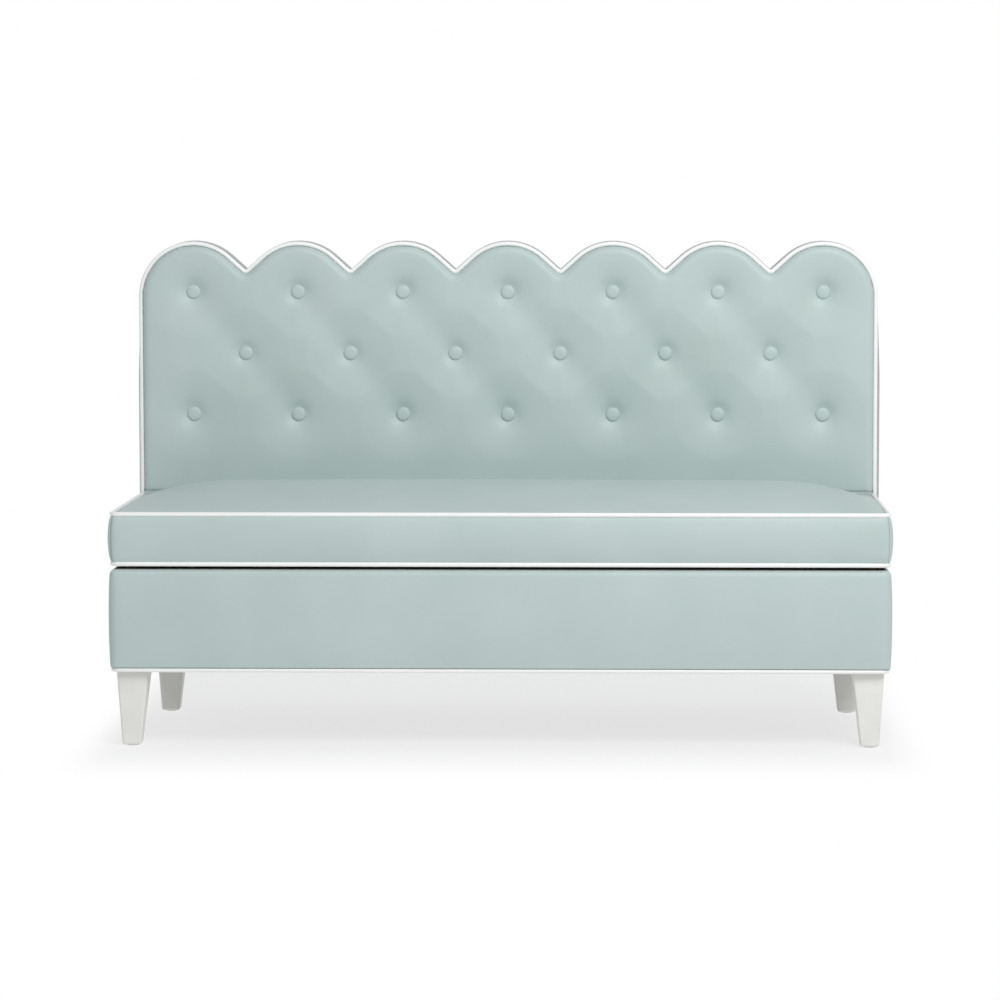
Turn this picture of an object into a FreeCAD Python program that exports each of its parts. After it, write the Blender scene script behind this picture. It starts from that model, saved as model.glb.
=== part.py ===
import FreeCAD, Part
import math
import os
import re
from types import SimpleNamespace

from FreeCAD import Placement, Rotation, Vector

# Dining banquette: a padded storage box on four tapered legs, a boxed seat that is
# the box's hinged lid, and a scalloped, buttoned back.
# X runs along the bench, +Y to its rear, +Z up. The origin lies on the floor under
# the middle of the whole bench.

doc = FreeCAD.newDocument("banquette")

# Driving dimensions, millimetres, degrees and counts
SIZES = [
    ("base_width", 1512, "bench between the outer edges of its welts"),
    ("base_depth", 612, "front welt line to the rear face"),
    ("pad_bulge", 6, "how far padded faces swell past the welts"),
    ("corner_radius", 15, "upholstered corners, in plan"),
    ("soft_gap", 0.3, "play round a soft piece"),
    ("fit_gap", 0.05, "radial play of a bolt, screw or pin in its hole"),
    ("overrun", 5, "how far a cutting shape passes the surface"),
    ("leg_height", 147, "floor to the underside of the base"),
    ("leg_top", 62, "width of a leg at the base"),
    ("leg_foot", 36, "width of a leg at the floor"),
    ("leg_outer_taper", 9, "how far the outer faces of a leg lean in"),
    ("leg_edge", 4.5, "rounding along a leg's edges"),
    ("leg_front_inset", 15, "front welt line to the front legs"),
    ("leg_side_inset", 11, "end welt line to the front legs"),
    ("rear_leg_side_inset", 28, "end welt line to the rear legs"),
    ("rear_leg_rear_inset", 60, "rear face to the rear legs"),
    ("leg_bolt_radius", 4, "hanger bolt"),
    ("leg_bolt_depth", 45, "hanger bolt's length inside the leg"),
    ("tee_nut_radius", 5.5, "barrel of the tee nut"),
    ("tee_nut_length", 12, "barrel of the tee nut"),
    ("tee_flange_radius", 11, "flange of the tee nut"),
    ("tee_flange", 1.5, "thickness of the tee nut's flange"),
    ("glide_height", 2, "nail-on glide under a leg"),
    ("glide_radius", 12, "nail-on glide under a leg"),
    ("lining", 1, "dust cover and lid lining"),
    ("lining_inset", 45, "edge of the lid to the edge of its lining"),
    ("floor_board", 18, "plywood floor of the box"),
    ("panel", 15, "plywood walls of the box"),
    ("panel_height", 182, "walls of the box above its floor board"),
    ("cleat", 25, "square corner cleats of the box"),
    ("cleat_lift", 15, "floor board to a cleat, clear of the leg's tee nut"),
    ("cover", 12, "padding and vinyl over a board's face or edge"),
    ("rear_cover", 4, "outside back, vinyl over hardboard"),
    ("rear_cover_inset", 3, "end welt line to the outside back"),
    ("welt", 9, "diameter of the piping"),
    ("welt_seat", 2, "lid board's underside to the middle of the lower welt"),
    ("bumper_height", 8, "rubber bumper on the rim"),
    ("bumper_radius", 6, "rubber bumper on the rim"),
    ("lid_board", 15, "plywood board of the seat"),
    ("seat_height", 98.5, "lid board's underside to the upper welt's middle"),
    ("seat_crown", 45, "rise of the seat above its upper welt"),
    ("seat_depth", 515, "front welt line to the foot of the back"),
    ("hinge_gap", 12, "space between the seat and the foot of the back"),
    ("lid_rail", 18, "thickness of the seat's rear rail"),
    ("lid_rail_height", 70, "height of the seat's rear rail"),
    ("batten_width", 45, "cross batten under the lid board"),
    ("batten_height", 20, "cross batten under the lid board"),
    ("batten_inset", 60, "front and rear ends of a batten to the lid's edges"),
    ("screw_radius", 2, "wood screw"),
    ("screw_length", 14, "wood screw, under its head"),
    ("screw_head_radius", 4, "wood screw"),
    ("screw_head", 1.2, "wood screw"),
    ("hinge_width", 90, "length of a hinge's knuckles"),
    ("hinge_leaf", 2, "thickness of a hinge's leaves"),
    ("leaf_length", 60, "hinge pin to the end of a leaf"),
    ("knuckle_radius", 5.5, "outside of a hinge's knuckles"),
    ("knuckle_gap", 0.3, "end play between knuckles"),
    ("hinge_pin_radius", 3, "hinge pin"),
    ("hinge_screw_edge", 12, "leaf's edges to its screws"),
    ("hinge_screw_rise", 26, "lower row of a leaf's screws to the upper row"),
    ("back_rise", 621, "rim of the box to the middle of the welt on a scallop's top"),
    ("scallops", 7, "count along the back"),
    ("flank_angle", 42, "slope of a scallop's flanks, degrees"),
    ("valley_radius", 8, "bend of the welt between two scallops"),
    ("back_board", 12, "plywood board under the back's foam"),
    ("post_width", 40, "upright of the back"),
    ("post_depth", 30, "upright of the back"),
    ("top_rail_height", 40, "rail across the posts"),
    ("hinge_rail_height", 109, "rail across the foot of the back"),
    ("boxing_bulge", 6, "how far the back's edge band swells past its welt's middle"),
    ("pad_crown", 9, "back pad's face in front of its welt's front"),
    ("pad_round", 20, "rounded edge of the back pad"),
    ("tuft_drop", 99, "scallop's top to the upper row of buttons"),
    ("tuft_row", 126, "one row of buttons to the next"),
    ("tuft_rows", 3, "count of the rows"),
    ("tuft_radius", 70, "dimple round a button"),
    ("tuft_depth", 15, "dimple round a button"),
    ("button_radius", 15, "covered button"),
    ("button_edge", 3, "covered button's rim"),
    ("button_dome", 4, "covered button's rise above its rim"),
    ("tie_radius", 1, "twine that holds a button"),
    ("washer_radius", 8, "washer that the twine is tied to"),
    ("washer", 1.5, "washer that the twine is tied to"),
    ("post_bolt_radius", 4, "bolt through a post and the rear panel"),
    ("post_bolt_head_radius", 8, "bolt through a post and the rear panel"),
    ("post_bolt_head", 3, "thickness of the bolt's flat head"),
    ("post_nut_radius", 7.5, "nut on the bolt, across its corners"),
    ("post_nut", 6.5, "thickness of the nut"),
    ("post_bolt_edge", 40, "floor board and rim to the bolts"),
]

sheet = doc.addObject("Spreadsheet::Sheet", "Sizes")
for row, (name, number, note) in enumerate(SIZES, start=1):
    sheet.set("A%d" % row, name)
    sheet.set("B%d" % row, str(number))
    sheet.setAlias("B%d" % row, name)
    sheet.set("C%d" % row, note)
doc.recompute()

# Places that several pieces share, worked out from the sizes
PLACES = [
    ("half_width", "base_width / 2"),
    ("front", "(pad_bulge - base_depth) / 2"),
    ("rear", "(pad_bulge + base_depth) / 2"),
    ("board_half", "half_width - cover"),
    ("front_board_face", "front + cover"),
    ("rear_panel_back", "rear - rear_cover"),
    ("rear_panel_front", "rear_panel_back - panel"),
    ("post_front", "rear_panel_front - post_depth"),
    ("back_board_front", "post_front - back_board"),
    ("back_foot", "front + seat_depth"),
    ("floor_under", "leg_height + lining"),
    ("floor_top", "floor_under + floor_board"),
    ("rim", "floor_top + panel_height"),
    ("cover_foot", "leg_height + welt + soft_gap"),
    ("lid_under", "rim + bumper_height"),
    ("lid_top", "lid_under + lid_board"),
    ("seat_top", "lid_under + seat_height"),
    ("rail_top", "lid_top + lid_rail_height"),
    ("lid_rear", "back_foot - hinge_gap"),
    ("lid_front", "front"),
    ("hinge_y", "back_foot - hinge_gap / 2"),
    ("hinge_z", "seat_top"),
    ("hinge_rail_top", "rim + hinge_rail_height"),
    ("crest", "rim + back_rise"),
    ("pitch", "base_width / scallops"),
    ("pad_face", "back_foot - pad_crown"),
    ("button_seat", "pad_face + tuft_depth"),
    ("top_rail_under", "crest - tuft_drop - (tuft_row + top_rail_height) / 2"),
]

names_of_sizes = {name for name, number, note in SIZES}
names_of_places = {name for name, formula in PLACES}


def linked(formula):
    """The formula with each name pointing at the sheet or at the shared places."""

    def point(match):
        word = match.group(0)
        if word in names_of_sizes:
            return "Sizes." + word
        if word in names_of_places:
            return "Places." + word
        return word

    return re.sub(r"[a-z_]+", point, formula)


places = doc.addObject("App::FeaturePython", "Places")
for name, formula in PLACES:
    places.addProperty("App::PropertyFloat", name)
    places.setExpression(name, linked(formula))
doc.recompute()

# The same values for the shapes that are worked out in code below
at = SimpleNamespace()
for name in names_of_sizes:
    setattr(at, name, float(sheet.get(name)))
for name in names_of_places:
    setattr(at, name, float(getattr(places, name)))

pieces = []


def keep(piece, label):
    """Names a finished sub-part and puts it on the list that is written out."""
    piece.Label = label
    pieces.append(piece)
    return piece


def place(solid, corner):
    for axis, formula in zip("xyz", corner):
        solid.setExpression("Placement.Base." + axis, linked(formula))
    return solid


def box(corner, extent):
    """A board with its lowest corner and its extents along X, Y and Z as formulas."""
    solid = doc.addObject("Part::Box", "board")
    for side, formula in zip(("Length", "Width", "Height"), extent):
        solid.setExpression(side, linked(formula))
    return place(solid, corner)


# A cylinder is made along +Z; these turns lay it along another axis
ALONG = {
    "x": Rotation(Vector(0, 1, 0), 90),
    "y": Rotation(Vector(1, 0, 0), -90),
    "-y": Rotation(Vector(1, 0, 0), 90),
    "z": Rotation(),
    "-z": Rotation(Vector(1, 0, 0), 180),
}


def rod(along, foot, radius, length):
    """A round bar from its foot along an axis."""
    solid = doc.addObject("Part::Cylinder", "rod")
    solid.Placement = Placement(Vector(), ALONG[along])
    solid.setExpression("Radius", linked(radius))
    solid.setExpression("Height", linked(length))
    return place(solid, foot)


def hexagon(along, foot, corner_radius, length):
    """A hexagonal nut blank from its foot along an axis."""
    solid = doc.addObject("Part::Prism", "hexagon")
    solid.Polygon = 6
    solid.Placement = Placement(Vector(), ALONG[along])
    solid.setExpression("Circumradius", linked(corner_radius))
    solid.setExpression("Height", linked(length))
    return place(solid, foot)


def fused(solids):
    joined = doc.addObject("Part::MultiFuse", "joined")
    joined.Shapes = solids
    return joined


def grouped(solids):
    group = doc.addObject("Part::Compound", "group")
    group.Links = solids
    return group


def cut(solid, tools):
    rest = doc.addObject("Part::Cut", "cut")
    rest.Base = solid
    rest.Tool = tools[0] if len(tools) == 1 else grouped(tools)
    return rest


def modelled(shape, label):
    """A piece whose shape is worked out in code from the sheet's sizes."""
    feature = doc.addObject("Part::Feature", "modelled")
    feature.Shape = shape
    return keep(feature, label)


def screw(along, seat):
    """A flat-headed wood screw: its head stands on the seat, its shank goes along the axis."""
    back = {"y": "-y", "-y": "y", "z": "-z"}[along]
    shank = rod(along, seat, "screw_radius", "screw_length")
    head = rod(back, seat, "screw_head_radius", "screw_head")
    return fused([shank, head])


def screw_hole(along, seat):
    return rod(along, seat, "screw_radius + fit_gap", "screw_length + fit_gap")


# Legs

# Each leg is a square post that tapers to its foot, more on its inner faces than on its
# outer ones. A hanger bolt in its top screws into a tee nut in the floor board.

LEGS = [
    ("leg_front_left", -1, -1, "leg_side_inset", "leg_front_inset"),
    ("leg_front_right", 1, -1, "leg_side_inset", "leg_front_inset"),
    ("leg_rear_left", -1, 1, "rear_leg_side_inset", "rear_leg_rear_inset"),
    ("leg_rear_right", 1, 1, "rear_leg_side_inset", "rear_leg_rear_inset"),
]
bolts = []
bolt_holes = []
tee_nuts = []
glides = []
for label, side, end, side_inset, end_inset in LEGS:
    outer_x = "%d * (half_width - %s)" % (side, side_inset)
    outer_y = ("front + %s" if end < 0 else "rear - %s") % end_inset
    middle_x = "%s - %d * leg_top / 2" % (outer_x, side)
    middle_y = "%s - %d * leg_top / 2" % (outer_y, end)
    foot_lean = "(leg_top - leg_foot) / 2 - leg_outer_taper"
    foot_x = "%s + %d * (%s)" % (middle_x, side, foot_lean)
    foot_y = "%s + %d * (%s)" % (middle_y, end, foot_lean)

    wedge = doc.addObject("Part::Wedge", "leg")
    wedge.Placement = Placement(Vector(), Rotation(Vector(1, 0, 0), 90))
    wedge.setExpression("Xmin", linked(foot_x + " - leg_foot / 2"))
    wedge.setExpression("Xmax", linked(foot_x + " + leg_foot / 2"))
    wedge.setExpression("Zmin", linked("-(%s) - leg_foot / 2" % foot_y))
    wedge.setExpression("Zmax", linked("-(%s) + leg_foot / 2" % foot_y))
    wedge.setExpression("X2min", linked(middle_x + " - leg_top / 2"))
    wedge.setExpression("X2max", linked(middle_x + " + leg_top / 2"))
    wedge.setExpression("Z2min", linked("-(%s) - leg_top / 2" % middle_y))
    wedge.setExpression("Z2max", linked("-(%s) + leg_top / 2" % middle_y))
    wedge.setExpression("Ymin", linked("glide_height"))
    wedge.setExpression("Ymax", linked("leg_height"))
    doc.recompute()

    eased = doc.addObject("Part::Fillet", "eased_leg")
    eased.Base = wedge
    top_edges = [e.BoundBox.ZMin > at.leg_height - at.leg_edge for e in wedge.Shape.Edges]
    eased.Edges = [
        (number, at.leg_edge, at.leg_edge)
        for number, on_top in enumerate(top_edges, start=1)
        if not on_top
    ]
    bore = rod(
        "-z",
        (middle_x, middle_y, "leg_height"),
        "leg_bolt_radius + fit_gap",
        "leg_bolt_depth + fit_gap",
    )
    keep(cut(eased, [bore]), label)

    bolts.append(
        rod(
            "z",
            (middle_x, middle_y, "leg_height - leg_bolt_depth"),
            "leg_bolt_radius",
            "leg_bolt_depth + floor_top - leg_height",
        )
    )
    bolt_holes.append(
        rod("z", (middle_x, middle_y, "leg_height - overrun"), "tee_nut_radius + fit_gap",
            "floor_top - leg_height + 2 * overrun")
    )
    barrel = rod("-z", (middle_x, middle_y, "floor_top"), "tee_nut_radius", "tee_nut_length")
    flange = rod("z", (middle_x, middle_y, "floor_top"), "tee_flange_radius", "tee_flange")
    thread = rod(
        "z",
        (middle_x, middle_y, "floor_top - tee_nut_length - overrun"),
        "leg_bolt_radius + fit_gap",
        "tee_nut_length + tee_flange + 2 * overrun",
    )
    tee_nuts.append(cut(fused([barrel, flange]), [thread]))
    glides.append(rod("z", (foot_x, foot_y, "0"), "glide_radius", "glide_height"))

keep(grouped(bolts), "leg_bolts")
keep(grouped(tee_nuts), "leg_tee_nuts")
keep(grouped(glides), "leg_glides")

# Storage box

# Plywood walls stand on a floor board; cleats hold the front corners, and the back's
# posts the rear ones. A thin dust cover closes the underside.

floor_corner = ("-board_half", "front_board_face")
floor_extent = ("2 * board_half", "rear_panel_back - front_board_face")
keep(
    cut(
        box(floor_corner + ("floor_under",), floor_extent + ("floor_board",)),
        bolt_holes,
    ),
    "floor_board",
)
keep(
    cut(box(floor_corner + ("leg_height",), floor_extent + ("lining",)), bolt_holes),
    "dust_cover",
)
keep(
    box(
        ("-board_half", "front_board_face", "floor_top"),
        ("2 * board_half", "panel", "panel_height"),
    ),
    "front_panel",
)
for label, wall_x in (("left_panel", "-board_half"), ("right_panel", "board_half - panel")):
    keep(
        box(
            (wall_x, "front_board_face + panel", "floor_top"),
            ("panel", "rear_panel_front - front_board_face - panel", "panel_height"),
        ),
        label,
    )
keep(
    grouped(
        [
            box(
                (cleat_x, "front_board_face + panel", "floor_top + cleat_lift"),
                ("cleat", "cleat", "panel_height - cleat_lift"),
            )
            for cleat_x in ("panel - board_half", "board_half - panel - cleat")
        ]
    ),
    "corner_cleats",
)


# Padded covers of the base

# Foam and vinyl over the box's walls: the faces swell between the welt at the foot and
# the rolled upper edge. The cover is seamed just behind each front corner.


def plan_wire(height, outset, rear_edge):
    """A plan outline with rounded front corners, swollen outwards by the outset."""
    half = at.half_width + outset
    front = at.front - outset
    bend = at.corner_radius
    diagonal = bend * (1 - math.sqrt(0.5))
    left_rear = Vector(-half, rear_edge, height)
    left_bend = Vector(-half, front + bend, height)
    front_left = Vector(-half + bend, front, height)
    front_right = Vector(half - bend, front, height)
    right_bend = Vector(half, front + bend, height)
    right_rear = Vector(half, rear_edge, height)
    left_mid = Vector(-half + diagonal, front + diagonal, height)
    right_mid = Vector(half - diagonal, front + diagonal, height)
    return Part.Wire(
        [
            Part.LineSegment(left_rear, left_bend).toShape(),
            Part.Arc(left_bend, left_mid, front_left).toShape(),
            Part.LineSegment(front_left, front_right).toShape(),
            Part.Arc(front_right, right_mid, right_bend).toShape(),
            Part.LineSegment(right_bend, right_rear).toShape(),
            Part.LineSegment(right_rear, left_rear).toShape(),
        ]
    )


def solid_box(low, high):
    return Part.makeBox(high.x - low.x, high.y - low.y, high.z - low.z, low)


# Share of the cover's height, and its swell there as a share of the bulge
COVER_SHARES = [
    (0.0, -0.3),
    (0.06, 0.3),
    (0.25, 0.9),
    (0.5, 1.0),
    (0.75, 0.8),
    (0.9, 0.2),
    (0.97, -0.6),
    (1.0, -1.5),
]
cover_rise = at.rim - at.cover_foot
cover_rear = at.rear_panel_back - at.soft_gap
wrapped = Part.makeLoft(
    [
        plan_wire(at.cover_foot + up_share * cover_rise, swell_share * at.pad_bulge, cover_rear)
        for up_share, swell_share in COVER_SHARES
    ],
    True,
    True,
)
inside = solid_box(
    Vector(-at.board_half, at.front_board_face, at.leg_height),
    Vector(at.board_half, at.rear + at.overrun, at.rim + at.overrun),
)
wrapped = wrapped.cut(inside)
seam = at.front_board_face + at.corner_radius
reach = at.half_width + at.pad_bulge + at.overrun
front_side = solid_box(
    Vector(-reach, at.front - at.pad_bulge - at.overrun, 0), Vector(reach, seam, at.crest)
)
modelled(wrapped.common(front_side).Solids[0], "front_cover")
for label, low_x, high_x in (("left_cover", -reach, 0), ("right_cover", 0, reach)):
    end_side = solid_box(Vector(low_x, seam, 0), Vector(high_x, at.rear, at.crest))
    modelled(wrapped.common(end_side).Solids[0], label)


# Welts of the base and the seat

# Piping: a vinyl-wrapped cord sewn along an edge, here along both ends and the front.


def piping(path, start, direction):
    ring = Part.Wire(Part.makeCircle(at.welt / 2, start, direction))
    return path.makePipeShell([ring], True, False)


def edge_welt(height, rear_end):
    """Piping round the front corners at one height."""
    half = at.half_width - at.welt / 2
    front = at.front + at.welt / 2
    bend = at.corner_radius
    diagonal = bend * (1 - math.sqrt(0.5))
    start = Vector(-half, rear_end, height)
    left_bend = Vector(-half, front + bend, height)
    front_left = Vector(-half + bend, front, height)
    front_right = Vector(half - bend, front, height)
    right_bend = Vector(half, front + bend, height)
    left_mid = Vector(-half + diagonal, front + diagonal, height)
    right_mid = Vector(half - diagonal, front + diagonal, height)
    path = Part.Wire(
        [
            Part.LineSegment(start, left_bend).toShape(),
            Part.Arc(left_bend, left_mid, front_left).toShape(),
            Part.LineSegment(front_left, front_right).toShape(),
            Part.Arc(front_right, right_mid, right_bend).toShape(),
            Part.LineSegment(right_bend, Vector(half, rear_end, height)).toShape(),
        ]
    )
    return piping(path, start, Vector(0, -1, 0))


modelled(edge_welt(at.leg_height + at.welt / 2, cover_rear), "base_welt")
modelled(edge_welt(at.lid_under + at.welt_seat, at.lid_rear), "seat_lower_welt")
modelled(edge_welt(at.seat_top, at.lid_rear - at.corner_radius), "seat_upper_welt")

# Back frame

# A tall scalloped plywood panel closes the box and stands up behind the seat. Posts are
# bolted to it, and carry the scalloped front board that the foam is glued to.


def scallop_wire(depth, inset, foot):
    """The back's outline, drawn in from the middle of its welt by the inset."""
    radius = at.pitch / 2
    lean = math.radians(at.flank_angle)
    tilt_x = math.sin(lean)
    tilt_z = math.cos(lean)
    middle_z = at.crest - radius
    valley_z = middle_z + (radius + at.valley_radius - at.pitch / 2 * tilt_x) / tilt_z
    crest_r = radius - inset
    valley_r = at.valley_radius + inset
    last = int(at.scallops) - 1
    half = at.half_width - inset

    def point(x, z):
        return Vector(x, depth, z)

    edges = [Part.LineSegment(point(-half, foot), point(-half, middle_z)).toShape()]
    for number in range(last + 1):
        middle_x = (number - last / 2) * at.pitch
        left = point(middle_x - crest_r * tilt_x, middle_z + crest_r * tilt_z)
        right = point(middle_x + crest_r * tilt_x, middle_z + crest_r * tilt_z)
        top = point(middle_x, middle_z + crest_r)
        if number == 0:
            left = point(-half, middle_z)
            top = point(middle_x - crest_r * tilt_x, middle_z + crest_r * tilt_z)
        if number == last:
            right = point(half, middle_z)
            top = point(middle_x + crest_r * tilt_x, middle_z + crest_r * tilt_z)
        edges.append(Part.Arc(left, top, right).toShape())
        if number < last:
            valley_x = middle_x + at.pitch / 2
            enter = point(valley_x - valley_r * tilt_x, valley_z - valley_r * tilt_z)
            bottom = point(valley_x, valley_z - valley_r)
            leave = point(valley_x + valley_r * tilt_x, valley_z - valley_r * tilt_z)
            next_x = middle_x + at.pitch
            climb = point(next_x - crest_r * tilt_x, middle_z + crest_r * tilt_z)
            edges.append(Part.LineSegment(right, enter).toShape())
            edges.append(Part.Arc(enter, bottom, leave).toShape())
            edges.append(Part.LineSegment(leave, climb).toShape())
    edges.append(Part.LineSegment(point(half, middle_z), point(half, foot)).toShape())
    edges.append(Part.LineSegment(point(half, foot), point(-half, foot)).toShape())
    return Part.Wire(edges)


def scallop_board(front, back, inset, foot):
    outline = Part.Face(scallop_wire(front, inset, foot))
    return outline.extrude(Vector(0, back - front, 0))


def drilled(shape, holes):
    """A shape with a hole or hollow for each of the given tools."""
    return shape.cut(Part.makeCompound(holes))


post_reach = "(board_half - panel - post_width / 2)"
# The inner posts stand between two columns of buttons
POSTS = [
    ("post_left_outer", "-" + post_reach),
    ("post_left_inner", "-1.25 * pitch"),
    ("post_right_inner", "1.25 * pitch"),
    ("post_right_outer", post_reach),
]
post_bolts = []
post_nuts = []
panel_holes = []
bolt_levels = ("floor_top + post_bolt_edge", "rim - post_bolt_edge")
for label, middle_x in POSTS:
    upright = box(
        (middle_x + " - post_width / 2", "post_front", "floor_top"),
        ("post_width", "post_depth", "top_rail_under - floor_top"),
    )
    holes = []
    for level in bolt_levels:
        seat = (middle_x, "rear_panel_back", level)
        tail = "panel + post_depth + 1.5 * post_nut"
        shank = rod("-y", seat, "post_bolt_radius", tail)
        head = rod("-y", seat, "post_bolt_head_radius", "post_bolt_head")
        post_bolts.append(fused([shank, head]))
        hole = rod("-y", seat, "post_bolt_radius + fit_gap", tail)
        holes.append(hole)
        panel_holes.append(hole)
        panel_holes.append(
            rod("-y", seat, "post_bolt_head_radius + fit_gap", "post_bolt_head + fit_gap")
        )
        blank = hexagon("-y", (middle_x, "post_front", level), "post_nut_radius", "post_nut")
        post_nuts.append(cut(blank, [hole]))
    keep(cut(upright, holes), label)
keep(grouped(post_bolts), "post_bolts")
keep(grouped(post_nuts), "post_nuts")

rear_sheet = doc.addObject("Part::Feature", "rear_sheet")
rear_sheet.Shape = scallop_board(at.rear_panel_front, at.rear_panel_back, at.cover, at.floor_top)
keep(cut(rear_sheet, panel_holes), "rear_panel")
keep(
    box(
        ("-" + post_reach + " - post_width / 2", "post_front", "top_rail_under"),
        ("2 * %s + post_width" % post_reach, "post_depth", "top_rail_height"),
    ),
    "top_rail",
)
modelled(
    scallop_board(at.rear_panel_back, at.rear, at.rear_cover_inset, at.cover_foot),
    "outside_back",
)

# Buttoned back pad

# Foam under vinyl, rounded over towards the welt, with a dimple at each button. The
# buttons are tied with twine through the foam and the front board to a washer.

buttons_at = []
for row_number in range(int(at.tuft_rows)):
    in_row = int(at.scallops) - row_number % 2
    row_z = at.crest - at.tuft_drop - row_number * at.tuft_row
    for number in range(in_row):
        buttons_at.append(Vector((number - (in_row - 1) / 2) * at.pitch, 0, row_z))


def turned(points, arc_middle=None):
    """A solid turned round the Y axis from radius and depth pairs; a middle makes the first run an arc."""
    corners = [Vector(radius, depth, 0) for radius, depth in points]
    edges = []
    for number, corner in enumerate(corners):
        following = corners[(number + 1) % len(corners)]
        if number == 0 and arc_middle:
            middle = Vector(arc_middle[0], arc_middle[1], 0)
            edges.append(Part.Arc(corner, middle, following).toShape())
        else:
            edges.append(Part.LineSegment(corner, following).toShape())
    return Part.Face(Part.Wire(edges)).revolve(Vector(), Vector(0, 1, 0), 360)


def at_buttons(shape):
    return [shape.translated(spot) for spot in buttons_at]


seat_radius = at.button_radius + at.soft_gap
tie_hole_radius = at.tie_radius + at.soft_gap
dimple_middle_share = 0.3
dimple = turned(
    [
        (at.tuft_radius, at.pad_face),
        (seat_radius, at.button_seat),
        (0, at.button_seat),
        (0, at.pad_face - at.overrun),
        (at.tuft_radius, at.pad_face - at.overrun),
    ],
    (
        (at.tuft_radius + seat_radius) / 2,
        at.pad_face + dimple_middle_share * at.tuft_depth,
    ),
)
tie_hole = turned(
    [
        (tie_hole_radius, at.button_seat - at.overrun),
        (tie_hole_radius, at.post_front + at.overrun),
        (0, at.post_front + at.overrun),
        (0, at.button_seat - at.overrun),
    ]
)

pad_edge = at.welt / 2 + at.soft_gap
pad_inside = at.cover + at.soft_gap
welt_rear = at.back_foot + at.welt
# Depth of each pad outline in front of the board, and how far it is drawn in
PAD_SECTIONS = [
    (at.back_board_front, pad_inside),
    (welt_rear + at.soft_gap, pad_inside),
    (at.back_foot + at.welt / 4, pad_edge),
    (at.back_foot - at.pad_crown / 2, pad_edge + at.pad_round / 5),
    (at.pad_face, pad_edge + at.pad_round),
]
pad_foot = at.hinge_rail_top + at.soft_gap - pad_edge
pad = Part.makeLoft(
    [scallop_wire(depth, inset, pad_foot + inset) for depth, inset in PAD_SECTIONS], True, True
)
pad = drilled(drilled(pad, at_buttons(dimple)), at_buttons(tie_hole))
modelled(pad.Solids[0], "back_pad")

front_sheet = scallop_board(at.back_board_front, at.post_front, at.cover, at.rim)
modelled(drilled(front_sheet, at_buttons(tie_hole)), "back_board")

button_front = at.button_seat - at.button_edge - at.button_dome
dome_flat_share = 0.2
dome_middle_share = 0.3
button = turned(
    [
        (at.button_radius, at.button_seat - at.button_edge),
        (dome_flat_share * at.button_radius, button_front),
        (0, button_front),
        (0, at.button_seat),
        (at.button_radius, at.button_seat),
    ],
    (
        at.button_radius * (1 + dome_flat_share) / 2,
        button_front + dome_middle_share * at.button_dome,
    ),
)
modelled(Part.makeCompound(at_buttons(button)), "buttons")
tie = turned(
    [
        (at.tie_radius, at.button_seat),
        (at.tie_radius, at.post_front),
        (at.washer_radius, at.post_front),
        (at.washer_radius, at.post_front + at.washer),
        (0, at.post_front + at.washer),
        (0, at.button_seat),
    ]
)
modelled(Part.makeCompound(at_buttons(tie)), "button_ties")

# Back boxing and welt

# White vinyl over thin foam along the back's edges, sewn to the pad's cover at the
# welt; the band over the scallops is seamed to one down each end.

boxing_front = welt_rear + at.soft_gap
boxing_middle = (boxing_front + at.rear_panel_back) / 2
boxing_foot = at.rim + at.soft_gap
band = Part.makeLoft(
    [
        scallop_wire(boxing_front, at.welt / 4, boxing_foot),
        scallop_wire(boxing_middle, -at.boxing_bulge, boxing_foot),
        scallop_wire(at.rear_panel_back, at.welt / 4, boxing_foot),
    ],
    True,
    True,
)
core = scallop_board(
    boxing_front - at.overrun,
    at.rear_panel_back + at.overrun,
    at.cover - at.soft_gap,
    at.rim - at.overrun,
)
band = band.cut(core)
seam_z = at.crest - at.pitch / 2
above = solid_box(
    Vector(-reach, at.front, seam_z), Vector(reach, at.rear + at.overrun, at.crest + at.overrun)
)
modelled(band.common(above).Solids[0], "boxing_top")
for label, low_x, high_x in (("boxing_left", -reach, 0), ("boxing_right", 0, reach)):
    end_side = solid_box(Vector(low_x, at.front, 0), Vector(high_x, at.rear + at.overrun, seam_z))
    modelled(band.common(end_side).Solids[0], label)

welt_middle = at.back_foot + at.welt / 2
welt_path = Part.Wire(scallop_wire(welt_middle, 0, boxing_foot).Edges[:-1])
modelled(
    piping(welt_path, Vector(-at.half_width, welt_middle, boxing_foot), Vector(0, 0, 1)),
    "back_welt",
)

# Hinges

# Three butt hinges lie in the gap behind the seat, with their pins level with the seat's
# upper edge, so that the thick seat swings clear of the back. Their fixed leaves are
# screwed to a rail across the foot of the back, the others to the seat's rear rail.

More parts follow.
